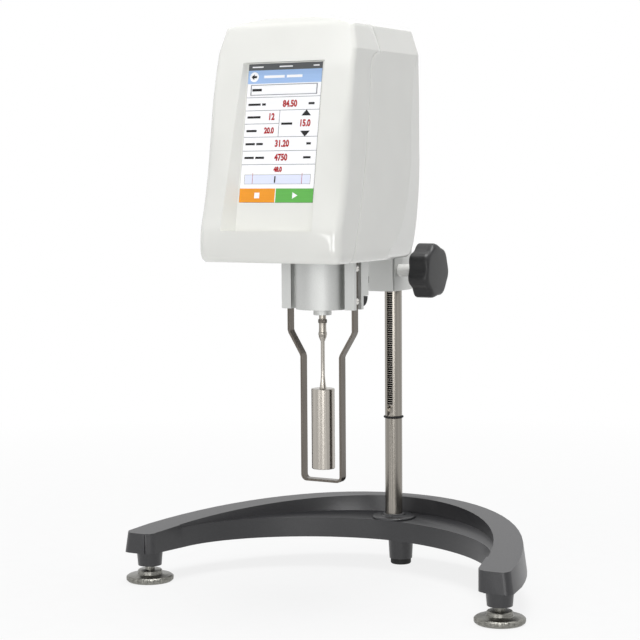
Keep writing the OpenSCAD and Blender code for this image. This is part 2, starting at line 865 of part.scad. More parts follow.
module chassis() {
    color("#9fa1a3")
    difference() {
        union() {
            translate([-floor_half_w, floor_front_y, floor_z0])
            cube([2 * floor_half_w, chassis_rear_y - floor_front_y, floor_t]);
            translate([-rear_wall_half_w, chassis_rear_y - rear_wall_t, floor_z0])
            cube([2 * rear_wall_half_w, rear_wall_t, rear_wall_h]);
            for (s = [-1, 1])
                translate([s * (rear_wall_half_w - 1.8) - 1.8, rib_front_y, floor_z0])
                cube([3.6, chassis_rear_y - rib_front_y, rib_h]);
            for (p = [cover_screw_places[2], cover_screw_places[3]])
                translate([p[0] - post_half_w, chassis_rear_y - upright_t, floor_z0])
                cube([2 * post_half_w, upright_t, p[1] + post_over - floor_z0]);
        }
        arm_screw_holes(chassis_rear_y - rear_wall_t - 1, rear_wall_t + 2);
        cover_screw_holes(cover_screw_d, chassis_rear_y - upright_t - 1, upright_t + 2);
        front_lug_screws(cover_screw_d + 0.4, floor_z0 - 1, floor_t + 2);
        front_lug_screws(cover_screw_d * 2, floor_z0 - 1, 1 + lug_head_h);
        translate([0, 0, floor_z0 - 1]) cylinder(h = floor_t + 2, d = 24);
        for (p = housing_screw_places)
            translate([p[0], p[1], floor_z0 - 1]) cylinder(h = floor_t + 2, d = 4.2);
    }
}

// Spindle housing: round body between two lugs, each with a channel for the guard leg
channel_w = strip_w + 0.8;
channel_x = guard_top_x - strip_t / 2 - 0.05;
lug_in_x = 24.5;
lug_front_y = -8.2;
lug_rear_y = 8.2;
housing_top_z = floor_z0;
housing_h = housing_top_z - housing_z0;
housing_screw_places = [[-17, -8], [17, -8], [-17, 12], [17, 12]];
housing_bore_d = 24;

module housing_plan() {
    difference() {
        union() {
            circle(d = housing_d);
            translate([-lug_in_x - 0.5, -2]) square([2 * lug_in_x + 1, 8]);
            for (s = [-1, 1])
                translate([s * (lug_in_x + lug_half_w) / 2, (lug_front_y + lug_rear_y) / 2])
                square([lug_half_w - lug_in_x, lug_rear_y - lug_front_y], center = true);
        }
        for (s = [-1, 1])
            translate([s * (channel_x + 5), 0]) square([10, channel_w], center = true);
    }
}

module housing_rear_plan() {
    for (s = [-1, 1])
        translate([s * (lug_half_w - 2.2), 12.5]) square([4.4, 9], center = true);
}

rear_lip_z0 = 246;

module spindle_housing() {
    color("#a5a9aa")
    difference() {
        union() {
            translate([0, 0, housing_z0]) linear_extrude(housing_h) housing_plan();
            translate([0, 0, rear_lip_z0]) linear_extrude(housing_top_z - rear_lip_z0) housing_rear_plan();
        }
        translate([0, 0, housing_z0 + 4]) cylinder(h = housing_h, d = housing_bore_d);
        translate([0, 0, housing_z0 - 1]) cylinder(h = 8, d = boss_d - 3 + 2 * fit);
        for (p = housing_screw_places)
            translate([p[0], p[1], housing_top_z - 9]) cylinder(h = 10, d = 3.3);
        for (s = [-1, 1], z = guard_screw_z)
            translate([s * (channel_x - 4), 0, z])
            rotate([0, 90, 0])
            cylinder(h = 12, d = guard_screw_d + 0.1, center = true);
    }
}

module housing_screws() {
    color("#8a8a88")
    for (p = housing_screw_places)
        translate([p[0], p[1], floor_z0 + floor_t]) {
            translate([0, 0, eps]) cylinder(h = 2.4, d = 6.5);
            translate([0, 0, -floor_t - 6]) cylinder(h = floor_t + 6 + 1, d = 3.2);
        }
}

module lug_bumper() {
    color("#1b1b1c")
    for (s = [-1, 1])
        translate([s * (lug_half_w - 2.2), lug_rear_y + 0.1, rear_lip_z0 - 0.1])
        rotate([90, 0, 90])
        linear_extrude(4.2, center = true)
        polygon(concat([[0, 0]], [for (a = [0:15:90]) [8 * sin(a) * 0.95, -8 + 8 * (1 - cos(a)) * 0.95]]));
}

module bearing_boss() {
    color("#b4b6b6")
    difference() {
        union() {
            translate([0, 0, boss_z0]) cylinder(h = housing_z0 - boss_z0, d = boss_d);
            translate([0, 0, boss_z0]) cylinder(h = housing_z0 - boss_z0 + 3.8, d = boss_d - 3);
        }
        translate([0, 0, boss_z0 - 1]) cylinder(h = 12, d = shaft_d + 1);
    }
}

// Guard leg -----------------------------------------------------------------------

guard_screw_z = [268.4, 242.1];
guard_screw_d = 3.5;
guard_r = 4;            // radius of the strip's bends, at its middle
guard_mid_z0 = guard_z0 + strip_t / 2;

// Middle line of the strip from the top right down to the bottom middle
guard_line = concat(
    [[guard_top_x, head_z0 - 1], [guard_top_x, guard_bend_z + 1.5], [guard_top_x - 0.7, guard_bend_z - 0.6],
     [guard_low_x + 0.7, guard_low_z + 0.6], [guard_low_x, guard_low_z - 1.5]],
    arc(guard_low_x - guard_r, guard_mid_z0 + guard_r, guard_r, 0, -90));

function unit(v) = v / norm(v);
function side_of(pts, i) =
    let (a = pts[max(i - 1, 0)], b = pts[min(i + 1, len(pts) - 1)], u = unit(b - a)) [-u[1], u[0]];
function beside(pts, d) = [for (i = [0:len(pts) - 1]) pts[i] + d * side_of(pts, i)];

module guard_leg() {
    outer = beside(guard_line, strip_t / 2);
    inner = beside(guard_line, -strip_t / 2);
    color("#97928a")
    difference() {
        rotate([90, 0, 0])
        linear_extrude(strip_w, center = true)
        difference() {
            polygon(mirrored(outer));
            polygon(mirrored(inner));
        }
        for (s = [-1, 1], z = guard_screw_z)
            translate([s * guard_top_x, 0, z])
            rotate([0, 90, 0])
            cylinder(h = 6, d = guard_screw_d + 0.2, center = true);
    }
}

module guard_screws() {
    color("#cfcecb")
    for (s = [-1, 1], z = guard_screw_z)
        translate([s * (guard_top_x + strip_t / 2 + 0.05), 0, z])
        rotate([0, 0, s * 90])
        guard_screw();
}

// Slotted pan screw with its shank along +Y
module guard_screw() {
    rotate([-90, 0, 0])
    difference() {
        union() {
            rotate_extrude()
            polygon([[0, -1.9], [1.8, -1.9], [2.7, -1.3], [3.1, 0], [0, 0]]);
            cylinder(h = 7, d = guard_screw_d - 0.1);
        }
        translate([-4, -0.4, -3]) cube([8, 0.8, 1.9]);
    }
}

// Drive ---------------------------------------------------------------------------

motor_plate_z = 316;
motor_plate_t = 3;
motor_w = 42.3;
motor_h = 34;
disc_d = 40;
lower_disc_z = 289;
upper_disc_z = 303;
post_places = [[-23, -12], [23, -12], [-23, 14], [23, 14]];

module motor_plate() {
    color("#a4a6a8")
    difference() {
        translate([-27, -21, motor_plate_z]) cube([54, 42, motor_plate_t]);
        translate([0, 0, motor_plate_z - 1]) cylinder(h = motor_plate_t + 2, d = 22.4);
        for (p = post_places)
            translate([p[0], p[1], motor_plate_z - 1]) cylinder(h = motor_plate_t + 2, d = 3.2, $fn = 24);
    }
}

module motor_posts() {
    color("#c2a25a")
    for (p = post_places)
        translate([p[0], p[1], floor_z0 + floor_t]) {
            cylinder(h = motor_plate_z - floor_z0 - floor_t, d = 6, $fn = 24);
            cylinder(h = motor_plate_z + motor_plate_t + 2 - floor_z0 - floor_t, d = 3, $fn = 24);
        }
}

module motor() {
    color("#2b2b2d")
    difference() {
        union() {
            translate([0, 0, motor_plate_z + motor_plate_t + motor_h / 2])
            cube([motor_w, motor_w, motor_h], center = true);
            translate([0, 0, motor_plate_z + motor_plate_t - 2]) cylinder(h = 3, d = 22);
        }
        translate([0, 0, motor_plate_z]) cylinder(h = 20, d = 5 + 2 * fit);
    }
}

module motor_shaft() {
    color("#a2a2a0")
    translate([0, 0, upper_disc_z - 2]) cylinder(h = 33, d = 5);
}

module code_disc(z, bore, slots) {
    translate([0, 0, z])
    difference() {
        union() {
            cylinder(h = 1, d = disc_d);
            cylinder(h = 5, d = bore + 5);
        }
        translate([0, 0, -1]) cylinder(h = 8, d = bore);
        for (i = [0:slots - 1])
            rotate([0, 0, i * 360 / slots])
            translate([disc_d / 2 - 3.5, -0.8, -1]) cube([2.5, 1.6, 3]);
    }
}

module upper_disc() {
    color("#b9bbbd")
    union() {
        code_disc(upper_disc_z, 5, 12);
        translate([spring_r1 + 1, 0, spring_z - 0.5])
        cylinder(h = upper_disc_z - spring_z + 0.6, d = 1.6, $fn = 24);
    }
}

module lower_disc() { color("#b9bbbd") code_disc(lower_disc_z, shaft_d, 12); }

// Flat spiral spring between the two discs, one strip from the shaft's collar outwards
spring_turns = 5;
spring_r0 = 4.2;
spring_r1 = 11;
spring_z = 297;

function spiral(off) = [
    for (i = [0:spring_turns * 18])
        let (a = i * 20, r = spring_r0 + (spring_r1 - spring_r0) * i / (spring_turns * 18) + off)
        [r * cos(a), r * sin(a)]];

module hair_spring() {
    s = spiral(0.15);
    t = spiral(-0.15);
    color("#c7a95c")
    translate([0, 0, spring_z])
    linear_extrude(1.2)
    polygon(concat(s, [for (i = [len(t) - 1:-1:0]) t[i]]));
}

pivot_top_z = 299;

module pivot_shaft() {
    color("#a2a2a0")
    rotate_extrude()
    polygon([[0, boss_z0 - 3.1], [shaft_d / 2, boss_z0 - 3.1], [shaft_d / 2, 245], [5, 245], [5, 247],
             [shaft_d / 2, 247], [shaft_d / 2, spring_z - 1], [4, spring_z - 1], [4, spring_z + 1.4],
             [1, pivot_top_z + 1], [0, pivot_top_z + 1]]);
}

module jewel_bearing() {
    color("#b4473f")
    translate([0, 0, housing_z0 + 4])
    difference() {
        cylinder(h = 4.5, d = housing_bore_d - 0.1);
        translate([0, 0, -1]) cylinder(h = 7, d = shaft_d + 2 * fit);
    }
}

sensor_back_y = disc_d / 2 + 6;

// Post behind the discs that carries both sensors
module sensor_bracket() {
    color("#9fa1a3")
    translate([-6, sensor_back_y, floor_z0 + floor_t])
    cube([12, 3, upper_disc_z + 6 - floor_z0 - floor_t]);
}

module disc_sensor() {
    color("#26282b")
    for (z = [lower_disc_z, upper_disc_z])
        translate([0, disc_d / 2, z + 0.5])
        difference() {
            translate([-6, -4, -5]) cube([12, 10, 10]);
            translate([-7, -5, -1.5]) cube([14, 7, 3]);
        }
}

// Spindle -------------------------------------------------------------------------

coupling_top_z = boss_z0 - 3.1;
coupling_z0 = 212.9;
coupling_d = 7.6;
rod_top_z = 208.9;
spindle_z1 = spindle_z0 + spindle_l;

module spindle_coupling() {
    color("#7c776f")
    difference() {
        rotate_extrude()
        polygon([[1, coupling_z0], [coupling_d / 2 - 0.3, coupling_z0], [coupling_d / 2, coupling_z0 + 2.4],
                 [coupling_d / 2 - 0.5, coupling_z0 + 6.5], [coupling_d / 2 - 0.2, coupling_top_z - 3.4],
                 [coupling_d / 2 + 0.3, coupling_top_z - 3], [coupling_d / 2 + 0.3, coupling_top_z - 0.4],
                 [coupling_d / 2 - 0.1, coupling_top_z], [1, coupling_top_z]]);
        translate([0, 0, coupling_z0 - 1]) cylinder(h = coupling_top_z - coupling_z0 + 2, d = 3.2);
    }
}

module spindle() {
    color("#8f8b84")
    rotate_extrude()
    polygon([[0, spindle_z0], [spindle_d / 2 - 0.4, spindle_z0], [spindle_d / 2, spindle_z0 + 0.4],
             [spindle_d / 2, spindle_z1 - 0.4], [spindle_d / 2 - 0.4, spindle_z1],
             [rod_d / 2 + 1.3, spindle_z1], [rod_d / 2 + 1, spindle_z1 + 1.5],
             [rod_d / 2 + 0.6, spindle_z1 + 4], [rod_d / 2 + 0.2, spindle_z1 + 8],
             [rod_d / 2, spindle_z1 + 11], [rod_d / 2, rod_top_z],
             [coupling_d / 2 - 0.6, coupling_z0 - 0.1], [1.55, coupling_z0 - 0.1],
             [1.55, coupling_top_z - 1], [0, coupling_top_z - 1]]);
}

// Small parts on the covers -------------------------------------------------------

module bubble_level() {
    color("#b9c94a")
    translate([0, level_y, level_z0])
    rotate_extrude()
    polygon([[0, 0], [level_d / 2, 0], [level_d / 2, level_h], [level_d / 2 - 1.2, level_h + 0.8],
             [0, level_h + 0.8]]);
}

module switch_frame() {
    color("#222326")
    difference() {
        union() {
            rear_port(switch_x, rear_y + 0.2, 1.6) square([switch_w + 3, switch_h + 3], center = true);
            rear_port(switch_x, rear_y - 11, 11.3) square([switch_w, switch_h], center = true);
        }
        rear_port(switch_x, rear_y - 8, 12) square([switch_w - 3, switch_h - 3], center = true);
    }
}

rocker_tilt = 10;
rocker_y = rear_y - 3;

// Rocker: a V-shaped cap that tilts about a pivot along X
module power_rocker() {
    half = (switch_h - 3) / 2 - 0.6;
    rise = half * tan(rocker_tilt);
    color("#17181a")
    translate([switch_x, rocker_y, port_z])
    rotate([rocker_tilt, 0, 0])
    rotate([90, 0, 90])
    linear_extrude(switch_w - 3 - 0.6, center = true)
    polygon([[-2.6, -3], [-2.6, 3], [0.6, half - 0.8], [3 + rise, half - 0.8], [3, 0],
             [3 + rise, -half + 0.8], [0.6, -half + 0.8]]);
}

module dc_jack() {
    color("#242528")
    difference() {
        rear_port(jack_x, rear_y - 11, 12) circle(d = jack_d);
        rear_port(jack_x, rear_y - 8, 12) difference() { circle(d = 6.3); circle(d = 2.1); }
    }
}

module usb_port() {
    color("#b9babb")
    difference() {
        rear_port(usb_x, rear_y - 12, 12.4) square([usb_w, usb_h], center = true);
        rear_port(usb_x, rear_y - 10, 14) difference() {
            square([usb_w - 2, usb_h - 2], center = true);
            square([6, 4], center = true);
        }
    }
}

module probe_socket() {
    color("#a9abac")
    difference() {
        rear_port(probe_x, rear_y - 10, 12.5) circle(d = probe_d);
        rear_port(probe_x, rear_y - 6, 12) difference() { circle(d = 9); circle(d = 5.4); }
    }
}

module cover_screws() {
    color("#8f908f")
    for (p = cover_screw_places)
        translate([p[0], cover_screw_head_y, p[1]])
        mirror([0, 1, 0])
        cap_screw(cover_screw_d, cover_screw_head_y - chassis_rear_y + upright_t);
    front_lug_screws(cover_screw_d * 1.75, floor_z0 + 0.2, lug_head_h - 0.2);
    front_lug_screws(cover_screw_d - 0.4, floor_z0 + 1, floor_t + 6);
}

base_casting();
column_flange();
column();
rack();
stop_ring();
column_cap();
column_bolt();
rear_foot_pad();
left_foot();
right_foot();
lift_block();
block_front_plate();
head_arm();
friction_screw();
arm_screws();
knob_bushing();
pinion_shaft();
pinion();
lift_knob();
knob_cap();
front_cover();
rear_cover();
touch_glass();
display_module();
main_board();
board_posts();
chassis();
spindle_housing();
housing_screws();
lug_bumper();
bearing_boss();
guard_leg();
guard_screws();
motor_plate();
motor_posts();
motor();
motor_shaft();
upper_disc();
hair_spring();
pivot_shaft();
lower_disc();
jewel_bearing();
disc_sensor();
sensor_bracket();
spindle_coupling();
spindle();
bubble_level();
switch_frame();
power_rocker();
dc_jack();
usb_port();
probe_socket();
cover_screws();
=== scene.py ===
# Rotational viscometer: a crescent stand with a rack column, a moulded measuring head with a
# tilted touch screen, and a spindle that turns inside a guard leg. Metres, Z up, front at -Y.
import json
import math

import bmesh
import bpy
import numpy as np
from mathutils import Matrix, Vector

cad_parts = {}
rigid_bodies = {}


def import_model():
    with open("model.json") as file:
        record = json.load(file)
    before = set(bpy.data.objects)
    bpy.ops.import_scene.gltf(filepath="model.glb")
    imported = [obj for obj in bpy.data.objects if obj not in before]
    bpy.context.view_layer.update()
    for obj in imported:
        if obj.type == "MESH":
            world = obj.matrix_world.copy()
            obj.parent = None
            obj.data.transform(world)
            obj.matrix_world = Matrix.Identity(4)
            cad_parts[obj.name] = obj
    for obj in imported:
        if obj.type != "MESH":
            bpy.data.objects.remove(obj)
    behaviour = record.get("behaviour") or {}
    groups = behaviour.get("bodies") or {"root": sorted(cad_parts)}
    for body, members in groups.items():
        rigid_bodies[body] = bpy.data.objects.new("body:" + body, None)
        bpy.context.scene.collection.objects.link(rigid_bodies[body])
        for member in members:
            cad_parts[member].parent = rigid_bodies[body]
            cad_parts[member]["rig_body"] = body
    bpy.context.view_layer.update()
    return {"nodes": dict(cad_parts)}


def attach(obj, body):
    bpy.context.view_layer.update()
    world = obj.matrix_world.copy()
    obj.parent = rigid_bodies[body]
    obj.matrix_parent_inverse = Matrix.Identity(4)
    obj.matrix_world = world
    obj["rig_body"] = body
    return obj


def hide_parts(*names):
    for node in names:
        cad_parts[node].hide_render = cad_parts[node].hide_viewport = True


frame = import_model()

MM = 0.001
RACK_TIP_Y = 124.3      # Y of the rack's tooth tips in millimetres
GAP_SHADE_DEPTH = 0.35        # depth below the tips at which the painted shade in the tooth gaps is full


# Materials ---------------------------------------------------------------------------

def linear(code):
    """sRGB hex to linear RGBA: a channel c is c / 12.92 below 0.04045, else ((c + 0.055) / 1.055) ^ 2.4."""
    c = np.array([int(code[i:i + 2], 16) for i in (1, 3, 5)]) / 255
    return (*np.where(c <= 0.04045, c / 12.92, ((c + 0.055) / 1.055) ** 2.4).tolist(), 1.0)


def node(mat, kind, links=(), **settings):
    """Adds one shader node. Settings named after an input set its value, the rest are the node's own
    properties, and each link is (input of this node, node it comes from, that node's output)."""
    n = mat.node_tree.nodes.new("ShaderNode" + kind)
    for key, value in settings.items():
        name = key.replace("_", " ")
        if name in n.inputs:
            n.inputs[name].default_value = value
        else:
            setattr(n, key, value)
    for socket, source, output in links:
        mat.node_tree.links.new(source.outputs[output], n.inputs[socket])
    return n


def finish(name, **shader):
    """A new material with one Principled shader: constants go straight on its sockets."""
    mat = bpy.data.materials.new(name)
    mat.use_nodes = True
    mat.node_tree.nodes.clear()
    bsdf = node(mat, "BsdfPrincipled")
    for key, value in shader.items():
        bsdf.inputs[key.replace("_", " ")].default_value = value
    out = node(mat, "OutputMaterial", links=[("Surface", bsdf, "BSDF")])
    return mat, bsdf


def grain(mat, per_mm, detail=3.0, squeeze=(1, 1, 1), turn=(0, 0, 0)):
    """Noise on Object coordinates with per_mm cycles to a millimetre; squeeze stretches it into lines."""
    place = node(mat, "TexCoord")
    scaled = node(mat, "Mapping", links=[("Vector", place, "Object")], Scale=squeeze, Rotation=turn)
    return node(mat, "TexNoise", links=[("Vector", scaled, "Vector")],
                Scale=per_mm / MM, Detail=detail, Roughness=0.55)


def shade(mat, bsdf, source, low, high, lo_hex, hi_hex, socket="Base Color"):
    """The colour runs from lo_hex to hi_hex as the pattern goes from low to high."""
    ramp = node(mat, "ValToRGB", links=[("Fac", source, "Fac")])
    ramp.color_ramp.elements[0].position = low
    ramp.color_ramp.elements[1].position = high
    ramp.color_ramp.elements[0].color = linear(lo_hex)
    ramp.color_ramp.elements[1].color = linear(hi_hex)
    mat.node_tree.links.new(ramp.outputs["Color"], bsdf.inputs[socket])


def uneven(mat, bsdf, source, low, high):
    """Roughness runs from low to high with the pattern."""
    span = node(mat, "MapRange", [("Value", source, "Fac")], To_Min=low, To_Max=high)
    mat.node_tree.links.new(span.outputs["Result"], bsdf.inputs["Roughness"])


def relief(mat, bsdf, source, height_mm, strength=1.0):
    """Bump of that height from the pattern."""
    bump = node(mat, "Bump", links=[("Height", source, "Fac")], Distance=height_mm * MM, Strength=strength)
    mat.node_tree.links.new(bump.outputs["Normal"], bsdf.inputs["Normal"])


def housing_abs():
    """Injection-moulded ABS from a polished tool: even warm white with a broad soft gloss. Its colour
    drifts by less than one part in a hundred over 30 mm, and a swell 20 mm across bends reflections."""
    mat, bsdf = finish("moulded white ABS", Roughness=0.15, IOR=1.53, Coat_Weight=0.5, Coat_Roughness=0.05)
    drift = grain(mat, 0.03, detail=1.0)
    shade(mat, bsdf, drift, 0.35, 0.65, "#E6E6E1", "#E8E8E3")
    uneven(mat, bsdf, drift, 0.13, 0.17)
    relief(mat, bsdf, grain(mat, 0.05, detail=1.0), 0.02, 0.2)
    return mat


def powder_coat():
    """Textured charcoal powder coat on the cast base: fine pebbles near 0.5 mm, drawn 0.9 mm so that
    they show, satin on their tops and dull between."""
    mat, bsdf = finish("charcoal powder coat", Roughness=0.34, IOR=1.5, Specular_IOR_Level=0.65)
    pebble = grain(mat, 1.1, detail=2.0)
    shade(mat, bsdf, pebble, 0.35, 0.7, "#262628", "#2D2D30")
    uneven(mat, bsdf, pebble, 0.28, 0.42)
    relief(mat, bsdf, pebble, 0.04, 0.35)
    return mat


def brushed(name, lo_hex, hi_hex, squeeze, low, high, lines=6.0, depth=0.01):
    """Brushed or turned metal: lines a fraction of a millimetre wide, drawn out along the axes whose
    squeeze is small, which stretch the lamps' reflections across them."""
    mat, bsdf = finish(name, Metallic=1.0, Roughness=0.3)
    hair = grain(mat, lines, detail=2.0, squeeze=squeeze)
    shade(mat, bsdf, hair, 0.3, 0.7, lo_hex, hi_hex)
    uneven(mat, bsdf, hair, low, high)
    relief(mat, bsdf, hair, depth, 0.25)
    return mat


def toothed(name, lo_hex, hi_hex, squeeze, low, high, lines, depth=0.0):
    """Cut rack: bare steel on the tooth tips, and below them painted shade that darkens the spaces between the
    teeth to near black, so the teeth show.
    """
    mat = brushed(name, lo_hex, hi_hex, squeeze, low, high, lines, depth)
    bsdf = mat.node_tree.nodes["Principled BSDF"]
    split = node(mat, "SeparateXYZ", [(0, node(mat, "TexCoord"), "Object")])
    # painted shade: from the tooth tips down into the gaps the steel's colour is mixed towards near black
    deep = node(mat, "MapRange", [("Value", split, "Y")],
                From_Min=RACK_TIP_Y * MM, From_Max=(RACK_TIP_Y + GAP_SHADE_DEPTH) * MM)
    steel = bsdf.inputs["Base Color"].links[0].from_socket
    gap_shade_mix = node(mat, "Mix", [("Factor", deep, "Result")], data_type="RGBA")
    # the colour sockets of a mix node are its seventh and eighth inputs and its third output
    mat.node_tree.links.new(steel, gap_shade_mix.inputs[6])
    gap_shade_mix.inputs[7].default_value = linear("#141312")
    mat.node_tree.links.new(gap_shade_mix.outputs[2], bsdf.inputs["Base Color"])
    return mat


def blasted_aluminium(name, lo_hex, hi_hex, rough=0.55):
    """Bead-blasted and clear anodised aluminium: even pale grey, grit near 0.3 mm, no direction."""
    mat, bsdf = finish(name, Metallic=1.0, Roughness=rough)
    grit = grain(mat, 2.2, detail=3.0)
    shade(mat, bsdf, grit, 0.35, 0.65, lo_hex, hi_hex)
    uneven(mat, bsdf, grit, rough - 0.05, rough + 0.05)
    relief(mat, bsdf, grit, 0.012, 0.3)
    return mat


def moulded(name, lo_hex, hi_hex, rough, per_mm=1.6, height=0.02, spec=0.5):
    """Moulded plastic or rubber: colour drifts a little, fine spark-eroded texture."""
    mat, bsdf = finish(name, Roughness=rough, IOR=1.49, Specular_IOR_Level=spec)
    skin = grain(mat, per_mm, detail=2.0)
    shade(mat, bsdf, skin, 0.35, 0.65, lo_hex, hi_hex)
    uneven(mat, bsdf, skin, rough - 0.05, rough + 0.07)
    relief(mat, bsdf, skin, height, 0.35)
    return mat


def lit(name, code, glow=0.12):
    """Liquid crystal display under its glass: the colour is lit a little from behind, the pixel rows
    drift in brightness by about one part in a hundred, and the glass gives a tight gloss."""
    mat, bsdf = finish(name, IOR=1.5, Roughness=0.1, Emission_Strength=glow)
    rows = grain(mat, 1.0, detail=1.0, squeeze=(0.05, 1, 1))
    dim = "#" + "".join(f"{max(0, int(code[i:i + 2], 16) - 4):02X}" for i in (1, 3, 5))
    shade(mat, bsdf, rows, 0.3, 0.7, dim, code)
    uneven(mat, bsdf, rows, 0.08, 0.12)
    bsdf.inputs["Emission Color"].default_value = linear(code)
    return mat


MAT = {
    "lit_white": lit("lit display white", "#F6F6F8"),
    "lit_grey": lit("lit display dark grey", "#5C5E60", 0.05),
    "lit_blue": lit("lit display light blue", "#9FBDE6"),
    "lit_lilac": lit("lit display lilac", "#DDE2F6"),
    "lit_orange": lit("lit display orange", "#E8951F"),
    "lit_green": lit("lit display green", "#5FAE4E"),
    "lit_red": lit("lit display red", "#B3121A", 0.0),
    "lit_black": lit("lit display black", "#1A1A1C", 0.0),
    "lit_line": lit("lit display thin lines", "#8E9096", 0.05),
    "abs": housing_abs(),
    "coat": powder_coat(),
    "steel_up": brushed("stainless steel brushed upright", "#A09B94", "#C0BBB3", (1, 1, 0.004),
                        0.24, 0.3, 1.3, 0.0005),
    "steel_column": brushed("polished column steel", "#7C7872", "#A19C94", (1, 1, 0.004),
                            0.2, 0.26, 1.3, 0.001),
    "steel_strip": brushed("rolled steel strip", "#5C5751", "#77716A", (1, 1, 0.01), 0.24, 0.32, 1.5, 0.002),
    "steel_x": brushed("ground steel shaft", "#8C8A86", "#B4B1AC", (0.02, 1, 1), 0.2, 0.32),
    "steel_turned": brushed("turned stainless steel", "#97928A", "#ABA69E", (0.05, 0.05, 1),
                            0.26, 0.32, 1.5, 0.0005),
    "knurl": brushed("knurled steel ring", "#55514C", "#6F6A64", (1, 1, 1), 0.35, 0.45, 2.0),
    # the rack's tooth gaps carry painted shade, near black below the tips
    "rack": toothed("cut steel rack with painted gap shade", "#A39F98", "#C4BFB7", (1, 1, 0.1), 0.35, 0.5, 1.0),
    "screw": brushed("nickel plated screws", "#C9C7C2", "#E2E0DB", (1, 1, 1), 0.14, 0.24, 4.0),
    "black_oxide": brushed("black oxide screws", "#1C1C1C", "#333332", (1, 1, 1), 0.3, 0.45, 4.0),
    "blasted": blasted_aluminium("bead blasted aluminium", "#C6C7C5", "#D2D3D1"),
    "sheet": blasted_aluminium("plain sheet aluminium", "#9A9C9E", "#ABADAF", 0.38),
    "foot": brushed("turned foot metal", "#6E6D68", "#93928C", (0.2, 0.2, 1), 0.3, 0.4, 1.5),
    "rubber": moulded("soft black rubber", "#161616", "#202020", 0.6, 1.2, 0.03, 0.35),
    "black": moulded("matte black moulding", "#1B1C1E", "#26272A", 0.45),
    "knob": moulded("soft touch dark knob", "#232324", "#2B2B2C", 0.4, 1.4, 0.02, 0.4),
    "acetal": moulded("white acetal", "#DADAD7", "#E6E6E3", 0.35),
    "brass": brushed("cut brass", "#A9843B", "#C9A75C", (1, 1, 1), 0.2, 0.32, 3.0),
    "board": moulded("green circuit board", "#23593A", "#2F6F4A", 0.35, 0.3),
    "display": moulded("dark display frame", "#1E2022", "#2A2C2F", 0.4),
    "jewel": moulded("ruby bearing ring", "#8F2B26", "#B4473F", 0.12, 0.3, 0.0),
    "motor": moulded("black lacquered motor", "#1D1D1F", "#2A2A2C", 0.32),
    "vial": moulded("green level vial", "#9DB03A", "#C2D254", 0.08, 0.2, 0.0, 0.6),
    "glass": moulded("black bezel glass", "#0B0C0E", "#101215", 0.08, 0.2, 0.0, 0.6),
}


# Meshes ------------------------------------------------------------------------------

def piece(name, verts, faces, body, material, smooth=35.0, replaces=()):
    """A finished mesh in millimetres: doubles merged, faces smooth below an angle, riding on a body."""
    mesh = bpy.data.meshes.new(name)
    mesh.from_pydata((np.asarray(verts) * MM).tolist(), [], [list(f) for f in faces])
    return settle(name, mesh, body, material, smooth, replaces)


def settle(name, mesh, body, material, smooth=35.0, replaces=(), merge=0.002):
    """Merges doubles, points the faces outwards, sets the smooth angle and joins the mesh to its body."""
    bm = bmesh.new()
    bm.from_mesh(mesh)
    bmesh.ops.remove_doubles(bm, verts=bm.verts, dist=merge * MM)
    bmesh.ops.dissolve_degenerate(bm, dist=0.0005 * MM, edges=bm.edges)
    bmesh.ops.recalc_face_normals(bm, faces=bm.faces)
    middle = np.mean([v.co for v in bm.verts], axis=0)
    if sum(f.calc_area() * f.normal.dot(f.calc_center_median() - Vector(middle)) for f in bm.faces) < 0:
        bmesh.ops.reverse_faces(bm, faces=bm.faces)
    bm.to_mesh(mesh)
    bm.free()
    mesh.shade_smooth()
    mesh.set_sharp_from_angle(angle=math.radians(smooth))
    obj = bpy.data.objects.new(name, mesh)
    bpy.context.scene.collection.objects.link(obj)
    mesh.materials.append(material)
    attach(obj, body)
    if replaces:
        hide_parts(*replaces)
    return obj


def bevel(obj, width, segments=2, angle=32.0):
    """Rounds the edges sharper than angle to a radius of width millimetres."""
    mod = obj.modifiers.new("rounded edges", "BEVEL")
    mod.width = width * MM
    mod.segments = segments
    mod.limit_method = "ANGLE"
    mod.angle_limit = math.radians(angle)
    mod.harden_normals = False
    return obj


def eased(cad, material, width=0.25, segments=2, angle=32.0, smooth=35.0):
    """A copy of a solid whose doubles are merged and whose edges are eased as a real one's are."""
    src = frame["nodes"][cad]
    mesh = src.data.copy()
    mesh.materials.clear()
    obj = settle(cad + "_piece", mesh, src["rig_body"], material, smooth, (cad,))
    # flat regions joined so that the rounding meets clean edges
    bm = bmesh.new()
    bm.from_mesh(obj.data)
    bmesh.ops.dissolve_limit(bm, angle_limit=math.radians(1.0), verts=bm.verts, edges=bm.edges)
    bm.to_mesh(obj.data)
    bm.free()
    obj.data.set_sharp_from_angle(angle=math.radians(smooth))
    if width:
        bevel(obj, width, segments, angle)
    return obj


def plain(cad, material):
    """A solid whose own shape is right, with its real finish."""
    mesh = frame["nodes"][cad].data
    mesh.materials.clear()
    mesh.materials.append(material)


# Camera and light ----------------------------------------------------------------------

cam_data = bpy.data.cameras.new("camera")
cam_data.sensor_width = 36
cam_data.lens = 1793.63 / 640 * 36      # focal length in pixels over the picture's width
cam_data.clip_end = 20
cam = bpy.data.objects.new("camera", cam_data)
RIGHT = (0.87943458, 0.47597578, -0.00647218)
UP = (-0.03309774, 0.07470515, 0.99665625)
AHEAD = (-0.47486774, 0.87627975, -0.08145201)
cam.matrix_world = Matrix([
    [RIGHT[0], UP[0], -AHEAD[0], 0.6838545],
    [RIGHT[1], UP[1], -AHEAD[1], -1.2662508],
    [RIGHT[2], UP[2], -AHEAD[2], 0.3439077],
    [0, 0, 0, 1]])
bpy.context.scene.collection.objects.link(cam)
bpy.context.scene.camera = cam
bpy.context.scene.view_settings.view_transform = "Standard"


